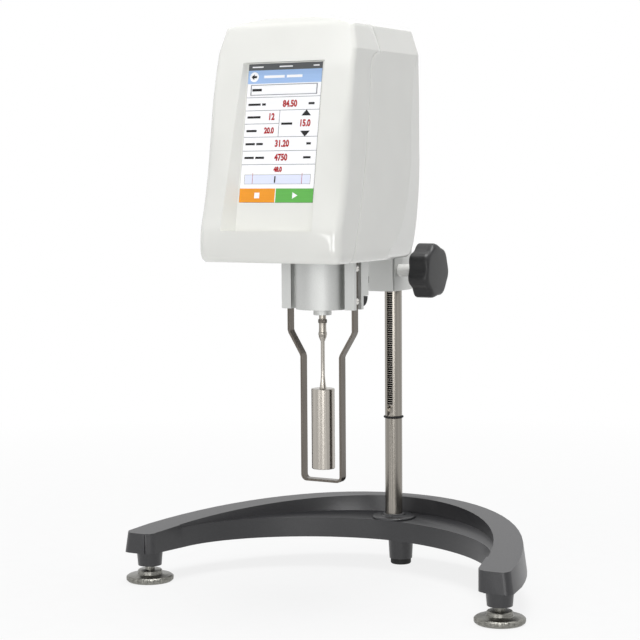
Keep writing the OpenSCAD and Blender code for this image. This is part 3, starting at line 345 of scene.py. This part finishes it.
def lamp(name, place, target, size, watts):
    """A square soft box that faces its target."""
    data = bpy.data.lights.new(name, "AREA")
    data.size = size
    data.energy = watts
    obj = bpy.data.objects.new(name, data)
    place, target = np.array(place), np.array(target)
    back = (place - target) / np.linalg.norm(place - target)
    side = np.cross((0, 0, 1), back)
    side /= np.linalg.norm(side)
    up = np.cross(back, side)
    obj.matrix_world = Matrix([[side[0], up[0], back[0], place[0]], [side[1], up[1], back[1], place[1]],
                               [side[2], up[2], back[2], place[2]], [0, 0, 0, 1]])
    bpy.context.scene.collection.objects.link(obj)


lamp("key", (-0.6, -2.0, 2.3), (0, 0, 0.35), 1.3, 8)
lamp("front", (-0.35, -2.7, 0.3), (0, 0, 0.3), 0.9, 9.5)
lamp("strip", (1.1, -2.1, 0.4), (0, 0, 0.35), 0.9, 14)
lamp("top", (0.15, -0.05, 2.1), (0, 0, 0.3), 1.2, 40)

world = bpy.data.worlds.new("studio")
bpy.context.scene.world = world
world.use_nodes = True
world.node_tree.nodes.clear()
paths = node(world, "LightPath")
white = node(world, "Background", Color=(1, 1, 1, 1), Strength=1.0)
soft = node(world, "Background", Color=(0.95, 0.97, 1.0, 1), Strength=0.22)
# Metal mirrors a room that is white at both sides and darker where the camera stands
toward = node(world, "VectorMath", [(0, node(world, "TexCoord"), "Generated")], operation="DOT_PRODUCT")
toward.inputs[1].default_value = (0.475, -0.876, 0.081)
dark = node(world, "MapRange", [("Value", toward, "Value")], From_Min=0.35, From_Max=0.97, To_Min=1.0, To_Max=0.38)
room = node(world, "Background", [("Strength", dark, "Result")], Color=(1, 1, 1, 1))
back = node(world, "MixShader", [("Fac", paths, "Is Glossy Ray"), (1, white, "Background"),
                                 (2, room, "Background")])
clear = node(world, "Math", [(0, paths, "Is Camera Ray"), (1, paths, "Is Transmission Ray")], operation="MAXIMUM")
shown = node(world, "Math", [(0, clear, "Value"), (1, paths, "Is Glossy Ray")], operation="MAXIMUM")
either = node(world, "MixShader", [("Fac", shown, "Value"), (1, soft, "Background"), (2, back, "Shader")])
node(world, "OutputWorld", [("Surface", either, "Shader")])

# Pale floor, larger than any view of it, with the shadow kept
floor_mesh = bpy.data.meshes.new("floor")
FLOOR_HALF, FLOOR_Z = 6, -0.0002
corners = [(x * FLOOR_HALF, y * FLOOR_HALF, FLOOR_Z) for x, y in ((-1, -1), (1, -1), (1, 1), (-1, 1))]
floor_mesh.from_pydata(corners, [], [(0, 1, 2, 3)])
floor = bpy.data.objects.new("floor", floor_mesh)
bpy.context.scene.collection.objects.link(floor)
floor_mat, floor_bsdf = finish("pale paper floor", Roughness=0.9)
paper = grain(floor_mat, 0.05, detail=2.0)
shade(floor_mat, floor_bsdf, paper, 0.3, 0.7, "#D6D6D6", "#DCDCDC")
# Seen directly or in a reflection, most of the floor's light is its own white, so the shadow stays faint
ray = node(floor_mat, "LightPath")
direct = node(floor_mat, "Math", [(0, ray, "Is Camera Ray"), (1, ray, "Is Glossy Ray")], operation="MAXIMUM")
ground = node(floor_mat, "TexCoord")
away = node(floor_mat, "VectorMath", [(0, ground, "Object")], operation="LENGTH")
share = node(floor_mat, "MapRange", [("Value", away, "Value")], From_Min=0.3, From_Max=1.1, To_Min=0.84, To_Max=1.0)
part = node(floor_mat, "Math", [(0, direct, "Value"), (1, share, "Result")], operation="MULTIPLY")
glow = node(floor_mat, "Emission", Color=(1, 1, 1, 1), Strength=1.0)
both = node(floor_mat, "MixShader", [("Fac", part, "Value"), (1, floor_bsdf, "BSDF"), (2, glow, "Emission")])
floor_out = floor_mat.node_tree.nodes["Material Output"]
floor_mat.node_tree.links.new(both.outputs["Shader"], floor_out.inputs["Surface"])
floor_mesh.materials.append(floor_mat)

# Head covers -----------------------------------------------------------------------------

HEAD_Z0, HALF_W, REAR_R, WALL = 276.0, 62.0, 6.0, 1.9
CREASE = 162.0      # height of the crisp edge above which the sides lean in
CORNER = 8.0        # tightest rounding of the front's upright corners, beside a crowned face
# Height above the lower edge, half width taken off, Y of the front, Y of the rear, front corner radius
LOW = np.array([[0, 3, -85, 52, 5], [2.5, 1, -87.8, 54.5, 6], [10, 0, -90, 57.2, 8],
                [22, 0, -91, 59, 10.5], [36, 0, -88.6, 60.8, 13], [49, 0, -85.5, 61.8, 14],
                [69, 0, -80.6, 62.6, 13], [94, 0.2, -74.6, 62.6, 9], [124, 0.5, -67.5, 62.2, 5],
                [149, 1, -61.5, 60.6, 4], [162, 1.2, -58, 59, 4]])
TOP = np.array([[162, 1.2, -58, 59, 4], [172, 3.62, -55.37, 56.9, 4], [178, 5.07, -53.79, 55.63, 4],
                [181, 5.8, -53, 55, 4], [183.8, 13, -51.6, 53.5, 4], [186.1, 26, -50.6, 52, 4],
                [187.4, 40, -50, 51, 4], [187.8, 52, -49.6, 50.4, 4]])
# Side view of the seam, as Y and height
SEAM = np.array([[-24, 194], [-20.3, 180], [-16, 163.5], [-16, 160.4], [-22, 160.39], [-26.5, 158.6],
                 [-29.3, 155.9], [-31.2, 152.5], [-32.2, 149.3], [-37.3, 111.9], [-47.4, 62.7],
                 [-54, 36.2], [-64.9, 1.9], [-66.5, -6]])[::-1]
SEAM_GAP = 0.25     # each cover's edge stands this far off the seam
STEP_H = 160.395    # height at which the seam steps back
CREASE_ROWS = [CREASE - 0.9, CREASE - 0.35, CREASE, CREASE + 0.35, CREASE + 0.9]
ARC = 12            # columns in a corner's arc
CROWN, CROWN_X = 0.586, 30      # drop of the crowned face for each mm of rounding left out, and its start
SCREEN_Y, SCREEN_Z, TILT = -56.9, 428.5, math.radians(9.55)     # middle of the glass's upper edge
LEVEL_Y, LEVEL_R, LEVEL_FLOOR = 22, 7.2, 457.2      # seat of the bubble level in the roof
# Lower and upper edge of the recess and of the glass along the screen, and their half widths there
RECESS_S, RECESS_X, RECESS_FLOOR_X = [-132, 0.6], [40, 35.8], 33.8
GLASS_S, GLASS_X, GLASS_DEPTH = [-108.2, 0.2], 32.6, 1.8


def monotone(x, y, at):
    """Cubic through the knots that never overshoots: the slope at a knot is the harmonic mean of the
    slopes on both sides, or zero where they differ in sign."""
    m = np.diff(y) / np.diff(x)
    same = m[:-1] * m[1:] > 0
    inner = np.where(same, 2 * m[:-1] * m[1:] / np.where(same, m[:-1] + m[1:], 1), 0)
    slope = np.concatenate([m[:1], inner, m[-1:]])
    i = np.clip(np.searchsorted(x, at, side="right") - 1, 0, len(x) - 2)
    w = x[i + 1] - x[i]
    t = (at - x[i]) / w
    return ((1 + 2 * t) * (1 - t) ** 2 * y[i] + t * (1 - t) ** 2 * w * slope[i]
            + t * t * (3 - 2 * t) * y[i + 1] + t * t * (t - 1) * w * slope[i + 1])


def form(rows):
    """Height, half width, front, rear and corner radius of the head's rings. Up to the crease a row is
    a height; above it, the length of the side's profile from the crease up and inwards."""
    length = CREASE + np.concatenate([[0], np.cumsum(np.hypot(np.diff(TOP[:, 0]), np.diff(TOP[:, 1])))])
    low = np.stack([monotone(LOW[:, 0], LOW[:, k], np.minimum(rows, CREASE)) for k in range(5)])
    top = np.stack([monotone(length, TOP[:, k], np.maximum(rows, CREASE)) for k in range(5)])
    h, off, front, rear, radius = np.where(rows <= CREASE, low, top)
    return h, HALF_W - off, front, rear, radius, length[-1]


def mesh_lines(marks, step):
    """Every mark, with equal parts no longer than step between neighbours."""
    marks = np.unique(np.round(marks, 4))
    parts = np.maximum(1, np.ceil(np.diff(marks) / step).astype(int))
    return np.concatenate([np.linspace(a, b, n, endpoint=False) for a, b, n in zip(marks, marks[1:], parts)]
                          + [marks[-1:]])


def on_screen(x, s, out):
    """A point of the screen's tilted plane: x across, s up from its upper edge, out of the glass."""
    x, s, out = np.broadcast_arrays(np.asarray(x, float), s, out)
    return np.stack([x, SCREEN_Y + s * math.sin(TILT) - out * math.cos(TILT),
                     SCREEN_Z + s * math.cos(TILT) + out * math.sin(TILT)], -1)


class Skin:
    """One surface gathered from grids of points, as whole arrays."""

    def __init__(self):
        self.points, self.quads, self.count = [], [], 0

    def add(self, points):
        points = np.asarray(points, float)
        index = self.count + np.arange(points[..., 0].size).reshape(points.shape[:-1])
        self.points.append(points.reshape(-1, 3))
        self.count += index.size
        return index

    def sheet(self, index, keep=None):
        """Quads between neighbouring rows and columns of a grid, left out where keep is false."""
        quads = np.stack([index[:-1, :-1], index[:-1, 1:], index[1:, 1:], index[1:, :-1]], -1)
        self.quads.append(quads.reshape(-1, 4) if keep is None else quads[keep])

    def band(self, a, b):
        """Quads between two closed loops of equal length."""
        self.quads.append(np.stack([a, np.roll(a, -1), np.roll(b, -1), b], -1))

    def loop(self, a, points):
        """A new closed loop joined to loop a."""
        b = self.add(points)
        self.band(a, b)
        return b

    def lid(self, a):
        """Closes a loop with a fan round its middle."""
        points = np.concatenate(self.points)[a]
        middle = self.add(points.mean(0, keepdims=True))
        self.band(a, np.full(len(a), middle[0]))

    def piece(self, name, body, material, slot, smooth=35.0, replaces=()):
        return piece(name, np.concatenate(self.points), np.concatenate(self.quads).tolist(), body,
                     material, smooth, replaces)


def rim(index, r0, r1, c0, c1):
    """The closed loop of grid vertices round the cells from row r0 to r1 and column c0 to c1."""
    return np.concatenate([index[r0, c0:c1], index[r0:r1, c1], index[r1, c1:c0:-1], index[r1:r0:-1, c0]])


def front_corner(w, radius):
    """Radius of a front corner's arc, drop of the crowned face at its end, and the angle of both there:
    the crown's parabola starts CROWN_X from the middle."""
    r = np.minimum(np.minimum(radius, CORNER), 0.8 * w)
    crown = CROWN * np.maximum(0, radius - CORNER)
    return r, crown, np.arctan(2 * crown / (w - r - CROWN_X + 2))


def rings(rows, sides, across, facing):
    """Grid of rings seen from above: seam, side, corner arc, straight, and the same mirrored. facing is
    -1 for the front cover and 1 for the rear; sides gives Y as a share from seam to corner for each
    column, and across gives X as a share of the straight from 1 to -1."""
    h, w, front, rear, radius, _ = form(rows)
    end = front if facing < 0 else rear
    r, crown, lean = front_corner(w, radius) if facing < 0 else (np.minimum(REAR_R, 0.8 * w), 0 * w, 0 * w)
    reach = w - r + r * np.sin(lean)
    share = np.linspace(0, 1, ARC + 1)[:-1]
    angle = math.pi / 2 - (math.pi / 2 - lean)[:, None] * share
    middle = end - facing * (crown + r * np.cos(lean))
    x_arc = (w - r)[:, None] + r[:, None] * np.sin(angle)
    y_arc = middle[:, None] + facing * r[:, None] * np.cos(angle)
    x = np.concatenate([np.repeat(w[:, None], sides.shape[1], 1), x_arc], 1)
    y = np.concatenate([sides, y_arc], 1)
    x_mid = reach[:, None] * across
    bulge = np.clip((np.abs(x_mid) - CROWN_X) / np.maximum(reach - CROWN_X, 1)[:, None], 0, 1) ** 2
    y_mid = end[:, None] - facing * crown[:, None] * bulge
    x = np.concatenate([x, x_mid, -x[:, ::-1]], 1)
    y = np.concatenate([y, y_mid, y[:, ::-1]], 1)
    z = HEAD_Z0 + np.repeat(h[:, None], x.shape[1], 1)
    return np.stack([x, y, z], -1)


def roof(skin, last, half, across):
    """Closes the top: each point of the right half is joined to its mirror point by a straight row."""
    right = last[:half]
    grid = np.stack([right[:, 0:1] * across, np.repeat(right[:, 1:2], across.size, 1),
                     np.repeat(right[:, 2:3], across.size, 1)], -1)
    end = last[half:half + across.size]
    return np.concatenate([grid, end[None]], 0)


def front_shell():
    """Front cover: rings from the seam round the front, with a recess for the display whose outline
    is a trapezium in the tilted plane of the screen."""
    def on_face(ys):
        """Height on the front face of a point at ys along the screen plane, pushed out square to it."""
        d = np.zeros_like(ys)
        for _ in range(12):
            h = SCREEN_Z + ys * math.cos(TILT) + d * math.sin(TILT) - HEAD_Z0
            face = monotone(LOW[:, 0], LOW[:, 2], h)
            d += (SCREEN_Y + ys * math.sin(TILT) - d * math.cos(TILT) - face) / math.cos(TILT)
        return h
    ys = np.linspace(RECESS_S[0] - 0.4, RECESS_S[1] + 0.4, 400)
    heights = on_face(ys)
    low_h, top_h = np.interp(RECESS_S, ys, heights)
    *_, total = form(np.array([0.0]))
    rows = mesh_lines([0, 0.8, 2.5, 6, 10, low_h, top_h, 149.3, 152.5, 155.9, 158.6, 160.39, 160.4, 164.5,
                       total, *CREASE_ROWS], 2.6)
    h, w, front, rear, radius, _ = form(rows)
    seam = np.interp(h, SEAM[:, 1], SEAM[:, 0]) - SEAM_GAP
    inner = np.where(h < STEP_H, seam, seam - 6)
    share = np.linspace(0, 1, 9)
    r, crown, lean = front_corner(w, radius)
    corner = front + crown + r * np.cos(lean)
    sides = np.concatenate([seam[:, None], inner[:, None] + (corner - inner)[:, None] * share[:-1]], 1)
    half_recess = np.interp(np.interp(h, heights, ys), RECESS_S, RECESS_X)
    edge = np.minimum(half_recess / (w - r + r * np.sin(lean)), 0.86)[:, None]
    outer = np.linspace(1, 0, 7)[:-1]
    mid = np.linspace(1, -1, 33)
    across = np.concatenate([edge + (1 - edge) * outer, edge * mid, -(edge + (1 - edge) * outer[::-1])], 1)
    skin = Skin()
    grid = rings(rows, sides, across, -1)
    index = skin.add(grid)
    r0, r1 = np.searchsorted(rows, [low_h - 0.01, top_h - 0.01])
    half = sides.shape[1] + ARC
    c0 = half + len(outer)
    c1 = c0 + len(mid) - 1
    keep = np.ones((index.shape[0] - 1, index.shape[1] - 1), bool)
    keep[r0:r1, c0:c1] = False
    skin.sheet(index, keep)
    skin.sheet(skin.add(roof(skin, grid[-1], half, across[-1])))
    hole = rim(index, r0, r1, c0, c1)
    p = np.concatenate(skin.points)[hole]
    along = (p[:, 2] - SCREEN_Z) * math.cos(TILT) + (p[:, 1] - SCREEN_Y) * math.sin(TILT)
    # the recess's walls lean in, down to a floor just wider than the glass
    share_x = p[:, 0] / np.interp(along, RECESS_S, RECESS_X)
    floor_loop = skin.loop(hole, on_screen(share_x * RECESS_FLOOR_X, along, 0.0))
    x_in, s_in = share_x * GLASS_X, np.interp(along, RECESS_S, GLASS_S)
    window = skin.loop(floor_loop, on_screen(x_in, s_in, 0.0))
    skin.loop(window, on_screen(x_in, s_in, -GLASS_DEPTH))
    return skin


def rear_shell():
    """Rear cover: rings from the seam round the back. Behind a curved line the side is tucked in by
    a slope of 0.13, so that a paler facet shows, and the back is open for the arm and the sockets."""
    x_marks = np.array([-56, -51, -47, -37, -35, -30.2, -17.8, -11, 11, 18, 30, 35.3, 37, 47, 48.7, 56])
    xs = mesh_lines(x_marks, 1.7)[::-1]
    *_, total = form(np.array([0.0]))
    rows = mesh_lines([0, 0.8, 2.5, 4, 18.5, 29.5, 37, 66.3, 68, 70, 70.3, 81.7, 82, 84, 85.7, 143.5, 154.5,
                       149.3, 158.6, 160.39, 160.4, 164.5, total, *CREASE_ROWS], 2.2)
    h, w, front, rear, radius, _ = form(rows)
    seam = np.interp(h, SEAM[:, 1], SEAM[:, 0]) + SEAM_GAP
    inner = np.where(h < STEP_H, seam + 6, seam)
    r = np.minimum(REAR_R, 0.8 * w)
    corner = rear - r
    fold = np.interp(h, [0, 8, 13, 20, 33, 54, 77, 109, 134, 155, 162.5, 168, 190],
                     [-8, -3, 6, 14, 22.6, 31.6, 36, 37.1, 40.7, 46, 49.5, 53, 53])
    fold = np.minimum(fold, corner - 1.5)
    before = inner[:, None] + (fold - 0.7 - inner)[:, None] * np.linspace(0, 1, 15)
    behind = (fold + 0.7)[:, None] + (corner - fold - 0.7)[:, None] * np.linspace(0, 1, 9)[:-1]
    sides = np.concatenate([seam[:, None], before, fold[:, None] + [-0.2, 0.2], behind], 1)
    across = np.repeat((xs / x_marks[-1])[None], rows.size, 0)
    skin = Skin()
    grid = rings(rows, sides, across, 1)
    # the tuck fades out over the last 12 mm beside the flank
    tuck = 0.13 * np.maximum(0, grid[..., 1] - fold[:, None])
    weight = np.clip((np.abs(grid[..., 0]) - (w - 12)[:, None]) / 12, 0, 1)
    grid[..., 0] -= np.sign(grid[..., 0]) * tuck * weight
    index = skin.add(grid)
    keep = np.ones((index.shape[0] - 1, index.shape[1] - 1), bool)
    first = sides.shape[1] + ARC

    def cells(x0, x1, h0, h1):
        """Rows and columns of the grid that bound a hole."""
        c = first + np.searchsorted(-xs, [-x1 - 0.01, -x0 - 0.01])
        r_ = np.searchsorted(rows, [h0 - 0.01, h1 - 0.01])
        keep[r_[0]:r_[1], c[0]:c[1]] = False
        return rim(index, r_[0], r_[1], c[0], c[1])

    def round_hole(x0, x1, h0, h1, xc, zc, radius, floor_y=None, bore=1.9):
        """Fills a cleared block with a ring round a circle, and where floor_y is given, a counterbore."""
        edge = cells(x0, x1, h0, h1)
        p = np.concatenate(skin.points)[edge]
        way = p[:, [0, 2]] - (xc, zc)
        way /= np.linalg.norm(way, axis=1, keepdims=True)
        def circle(size, y):
            return np.stack([xc + size * way[:, 0], y + 0 * way[:, 0], zc + size * way[:, 1]], -1)
        y = np.interp(zc - HEAD_Z0 + radius * way[:, 1], h, rear)
        a = skin.loop(edge, circle(radius, y))
        if floor_y is not None:
            skin.loop(skin.loop(a, circle(radius, floor_y)), circle(bore, floor_y))

    cells(-11, 11, 4, 37)                           # head arm
    cells(35.3, 48.7, 66.3, 85.7)                   # power switch
    cells(-30.2, -17.8, 70.3, 81.7)                 # data port
    round_hole(18, 30, 70, 82, 24, 352, 4.7)        # power jack
    round_hole(-51, -35, 68, 84, -43, 352, 6.2)     # probe socket
    for x in (-42, 42):                             # cover screws, sunk to Y 56
        round_hole(x - 5, x + 5, 18.5, 29.5, x, 300, 3.3, 56.0)
        round_hole(x - 5, x + 5, 143.5, 154.5, x, 425, 3.3, 56.0)
    skin.sheet(index, keep)
    top = roof(skin, grid[-1], first, across[-1])
    t_index = skin.add(top)
    mid_y = top[:, 0, 1]
    a, b = np.searchsorted(mid_y, [LEVEL_Y - 8.4, LEVEL_Y + 8.4])
    c, d = np.searchsorted(-across[-1], [-0.93, 0.93])
    t_keep = np.ones((t_index.shape[0] - 1, t_index.shape[1] - 1), bool)
    t_keep[a:b, c:d] = False
    skin.sheet(t_index, t_keep)
    edge = rim(t_index, a, b, c, d)
    p = np.concatenate(skin.points)[edge]
    way = p[:, :2] - (0, LEVEL_Y)
    way /= np.linalg.norm(way, axis=1, keepdims=True)

    def ring_at(z):
        return np.stack([LEVEL_R * way[:, 0], LEVEL_Y + LEVEL_R * way[:, 1], z + 0 * way[:, 0]], -1)
    skin.lid(skin.loop(skin.loop(edge, ring_at(p[:, 2].mean())), ring_at(LEVEL_FLOOR)))
    return skin


def shell(skin, name, slot, replaces):
    """A moulded cover: the skin gets its wall on the inside, then its edges a 0.5 mm rounding."""
    obj = skin.piece(name, "head", MAT["abs"], slot, 35.0, replaces)
    wall = obj.modifiers.new("moulded wall", "SOLIDIFY")
    wall.thickness = WALL * MM
    wall.offset = -1
    return bevel(obj, 0.5, 2, 40)


shell(front_shell(), "front_cover_shell", "cover_front", ("front_cover",))
shell(rear_shell(), "rear_cover_shell", "cover_rear", ("rear_cover",))

# Display ---------------------------------------------------------------------------------

SCREEN_W, SCREEN_H = 64.8, 108.0


def at(u, v):
    """Share of the screen's width and height to millimetres from the middle of its upper edge."""
    return (u - 0.5) * SCREEN_W, -v * SCREEN_H


def slab(u0, u1, v0, v1):
    """Outline of a rectangle between two shares across and two down."""
    (x0, s0), (x1, s1) = at(u0, v0), at(u1, v1)
    return np.array([[x0, s1], [x1, s1], [x1, s0], [x0, s0]])


def disc(u, v, radius, steps=40):
    a = np.linspace(0, 2 * math.pi, steps, endpoint=False)
    x, s = at(u, v)
    return np.stack([x + radius * np.cos(a), s + radius * np.sin(a)], -1)


def arrow(u, v, points):
    """A small outline in millimetres about a place on the screen."""
    return np.array(points, float) + at(u, v)


def printed(name, outlines, material, level):
    """Plates on the glass, 0.02 mm high for each level, one closed prism for each outline."""
    verts, faces, n = [], [], 0
    for outline in outlines:
        k = len(outline)
        ring = np.arange(k)
        for out in (0.0, 0.02 * level):
            verts.append(on_screen(outline[:, 0], outline[:, 1], out))
        sides = np.stack([ring, np.roll(ring, -1), np.roll(ring, -1) + k, ring + k], -1) + n
        faces += sides.tolist() + [(ring[::-1] + n).tolist(), (ring + k + n).tolist()]
        n += 2 * k
    return piece(name, np.concatenate(verts), faces, "head", material)


def numbers(name, items, material, level):
    """Plain numbers, each with its middle at a place on the screen and a height in millimetres."""
    verts, faces, n = [], [], 0
    for text, u, v, height in items:
        font = bpy.data.curves.new("number", "FONT")
        font.body, font.size, font.align_x, font.align_y = text, height * 1.6, "CENTER", "CENTER"
        font.extrude, font.resolution_u, font.offset = 0.01, 3, 0.33
        holder = bpy.data.objects.new("number", font)
        mesh = bpy.data.meshes.new_from_object(holder)
        co = np.empty(len(mesh.vertices) * 3, np.float32)
        mesh.vertices.foreach_get("co", co)
        co = co.reshape(-1, 3).astype(float)
        x, s = at(u, v)
        verts.append(on_screen(x + 0.8 * co[:, 0], s + co[:, 1], 0.02 * level + co[:, 2]))
        faces += [[i + n for i in f.vertices] for f in mesh.polygons]
        n += len(co)
        bpy.data.objects.remove(holder)
        bpy.data.meshes.remove(mesh)
        bpy.data.curves.remove(font)
    return piece(name, np.concatenate(verts), faces, "head", material)


printed("display_field", [slab(0.0, 1.0, 0.0, 1.0)], MAT["lit_white"], 1)
printed("display_status_bar", [slab(0, 1, 0, 0.046)], MAT["lit_grey"], 2)
printed("display_title_bar", [slab(0, 1, 0.046, 0.143)], MAT["lit_blue"], 2)
printed("display_range_bar", [slab(0.06, 0.94, 0.803, 0.866)], MAT["lit_lilac"], 2)
printed("display_left_button", [slab(0, 0.485, 0.9, 1.0)], MAT["lit_orange"], 2)
printed("display_right_button", [slab(0.495, 1, 0.9, 1.0)], MAT["lit_green"], 2)
lines = [slab(0, 1, v - 0.0022, v + 0.0022) for v in (0.243, 0.338, 0.53, 0.63, 0.728)]
lines += [slab(0, 0.47, 0.432, 0.4364), slab(0.466, 0.474, 0.338, 0.53), slab(0.045, 0.06, 0.152, 0.228),
          slab(0.94, 0.955, 0.152, 0.228), slab(0.045, 0.955, 0.222, 0.228), slab(0.045, 0.955, 0.15, 0.156),
          slab(0.055, 0.945, 0.8, 0.803), slab(0.055, 0.945, 0.866, 0.869), slab(0.05, 0.056, 0.8, 0.869),
          slab(0.944, 0.95, 0.8, 0.869)]
printed("display_lines", lines, MAT["lit_line"], 2)
# Short bars stand where a display has its wording
bars = [slab(0.03, 0.2, 0.286, 0.302), slab(0.22, 0.27, 0.286, 0.302), slab(0.85, 0.93, 0.286, 0.302),
        slab(0.03, 0.21, 0.378, 0.394), slab(0.03, 0.17, 0.477, 0.493), slab(0.5, 0.65, 0.428, 0.444),
        slab(0.03, 0.16, 0.572, 0.588), slab(0.18, 0.27, 0.572, 0.588), slab(0.86, 0.92, 0.572, 0.588),
        slab(0.03, 0.16, 0.671, 0.687), slab(0.18, 0.3, 0.671, 0.687), slab(0.83, 0.93, 0.671, 0.687),
        slab(0.07, 0.2, 0.18, 0.198), slab(0.46, 0.478, 0.812, 0.86)]
bars += [arrow(0.83, 0.362, [[-4.2, -2], [4.2, -2], [0, 2.6]]),
         arrow(0.83, 0.508, [[-4.2, 2], [0, -2.6], [4.2, 2]]),
         arrow(0.085, 0.094, [[-2.6, 0], [0, -2.2], [0, -0.9], [2.4, -0.9], [2.4, 0.9], [0, 0.9], [0, 2.2]])]
printed("display_title_disc", [disc(0.085, 0.094, 3.9)], MAT["lit_white"], 3)
printed("display_black_marks", bars, MAT["lit_black"], 4)
pale = [slab(0.22, 0.5, 0.085, 0.104), slab(0.53, 0.74, 0.085, 0.104), slab(0.05, 0.2, 0.018, 0.027),
        slab(0.42, 0.6, 0.018, 0.027), slab(0.88, 0.96, 0.018, 0.027),
        arrow(0.24, 0.95, [[-2.2, -2.2], [2.2, -2.2], [2.2, 2.2], [-2.2, 2.2]]),
        arrow(0.75, 0.95, [[-1.8, -2.5], [2.7, 0], [-1.8, 2.5]])]
printed("display_white_marks", pale, MAT["lit_white"], 3)
ticks = [slab(0.16, 0.166, 0.79, 0.866), slab(0.83, 0.836, 0.79, 0.866)]
printed("display_range_ticks", ticks, MAT["lit_red"], 3)
numbers("display_numbers", [("84.50", 0.6, 0.294, 4.4), ("12", 0.36, 0.386, 4.4), ("20.0", 0.34, 0.485, 3.9),
                            ("15.0", 0.82, 0.436, 4.4), ("31.20", 0.53, 0.58, 4.4),
                            ("4750", 0.53, 0.679, 4.4), ("48.0", 0.5, 0.765, 3.2)], MAT["lit_red"], 4)


# Lift knob -------------------------------------------------------------------------------

def lift_knob():
    """Seven lobes round the pinion's axis: at angle a the radius is 23.6 times 1 - k (1 - cos 7 (a - 44.5
    degrees)), less an inset that follows a 2 mm rounding at the inner end and a 4.6 mm one at the outer
    end. k falls from 0.062 to 0.02 over the outer rounding, so the flutes fade into the domed end."""
    turn = np.linspace(0, math.pi / 2, 9)
    x = np.concatenate([[29.5, 29.5], 31.5 - 2 * np.cos(turn), np.linspace(32.6, 42.4, 8),
                        43.4 + 4.6 * np.sin(turn), [48.15, 48.3, 48.4, 48.42]])
    inset = np.concatenate([[0, 0], 2 - 2 * np.sin(turn), np.zeros(8), 4.6 - 4.6 * np.cos(turn), [4.6] * 4])
    size = np.concatenate([[0.001, 0.6], np.ones(9 + 8 + 9), [0.8, 0.55, 0.25, 0.001]])
    k = 0.062 - 0.042 * np.clip((x - 42.5) / 5.5, 0, 1) ** 1.5
    a = np.linspace(0, 2 * math.pi, 140, endpoint=False)
    wave = 1 - np.cos(7 * (a - math.radians(44.5)))
    r = (23.6 * (1 - k[:, None] * wave) - inset[:, None]) * size[:, None]
    grid = np.stack([np.repeat(x[:, None], a.size, 1), 118.9 + r * np.cos(a), 260.7 + r * np.sin(a)], -1)
    skin = Skin()
    index = skin.add(grid)
    skin.sheet(np.concatenate([index, index[:, :1]], 1))
    return skin.piece("lift_knob_piece", "knob", MAT["knob"], "knob_soft", 50.0, ("lift_knob", "knob_cap"))


lift_knob()


# Coupling of the spindle -----------------------------------------------------------------

def turned(name, profile, ridges, material, replaces=()):
    """Closed ring turned about the spindle's axis from a profile of height and radius, with ridges round
    the rows that lie outside 3.2 mm: at angle a their radius is less by 0.1 (1 - cos n a)."""
    z, r = np.array(profile).T
    a = np.linspace(0, 2 * math.pi, 180, endpoint=False)
    radius = r[:, None] - 0.1 * (1 - np.cos(ridges * a)) * (r > 3.2)[:, None] * min(ridges, 1)
    grid = np.stack([radius * np.cos(a), radius * np.sin(a), np.repeat(z[:, None], a.size, 1)], -1)
    skin = Skin()
    index = skin.add(grid)
    index = np.concatenate([index, index[:1]], 0)
    skin.sheet(np.concatenate([index, index[:, :1]], 1))
    return skin.piece(name, "spindle_unit", material, "stainless", 30.0, replaces)


SLEEVE = [(212.9, 1.65), (212.9, 3.05), (213.1, 3.15), (213.9, 3.2), (214.2, 3.4), (214.3, 3.45),
          (216.2, 3.45), (216.3, 3.4), (216.6, 3.1), (218.5, 3.0), (221.0, 2.95), (223.6, 3.05),
          (224.3, 3.05), (226.6, 3.05), (227.2, 2.95), (227.4, 2.7), (227.4, 1.65)]
KNURL = [(224.0, 2.8), (224.0, 3.3), (224.2, 3.55), (225.5, 3.6), (226.7, 3.55), (226.95, 3.3), (226.95, 2.8)]
turned("coupling_sleeve", SLEEVE, 0, MAT["steel_turned"], ("spindle_coupling",))
turned("coupling_knurl", KNURL, 24, MAT["knurl"])

# Pieces that keep the shape of their solid ------------------------------------------------

# Material, rounding in millimetres and its segments
DRESS = {
    "base_casting": ("coat", 1.2, 3), "column_flange": ("coat", 0.3, 2),
    "column": ("steel_column", 0.2, 2), "stop_ring": ("rubber", 0, 0), "column_cap": ("black", 0.3, 2),
    "column_bolt": ("screw", 0.3, 2), "rear_foot_pad": ("rubber", 0.3, 2), "left_foot": ("foot", 0.3, 2),
    "right_foot": ("foot", 0.3, 2), "lift_block": ("blasted", 0.35, 2),
    "block_front_plate": ("blasted", 0.3, 2), "head_arm": ("blasted", 0.4, 2),
    "friction_screw": ("black_oxide", 0.2, 2), "knob_bushing": ("acetal", 0.2, 2),
    "touch_glass": ("glass", 0, 0), "spindle_housing": ("blasted", 0.3, 2),
    "lug_bumper": ("rubber", 0.2, 2), "bearing_boss": ("blasted", 0.3, 2),
    "guard_leg": ("steel_strip", 0.3, 3), "guard_screws": ("screw", 0.15, 2),
    "spindle": ("steel_up", 0.2, 2), "bubble_level": ("vial", 0.2, 2), "switch_frame": ("black", 0.4, 2),
    "power_rocker": ("black", 0.4, 2), "dc_jack": ("black", 0.2, 2), "usb_port": ("screw", 0.2, 2),
    "probe_socket": ("screw", 0.2, 2), "cover_screws": ("screw", 0.2, 2),
    "pivot_shaft": ("steel_turned", 0.1, 2),
}
for cad, (mat_key, width, segs) in DRESS.items():
    eased(cad, MAT[mat_key], width, max(segs, 1))
for cad, mat_key in {
        "rack": "rack", "arm_screws": "black_oxide", "pinion_shaft": "steel_x", "pinion": "brass",
        "display_module": "display", "main_board": "board", "board_posts": "brass", "chassis": "sheet",
        "housing_screws": "screw", "motor_plate": "sheet", "motor_posts": "brass", "motor": "motor",
        "motor_shaft": "steel_turned", "upper_disc": "sheet", "hair_spring": "brass", "lower_disc": "sheet",
        "jewel_bearing": "jewel", "disc_sensor": "black", "sensor_bracket": "sheet"}.items():
    plain(cad, MAT[mat_key])
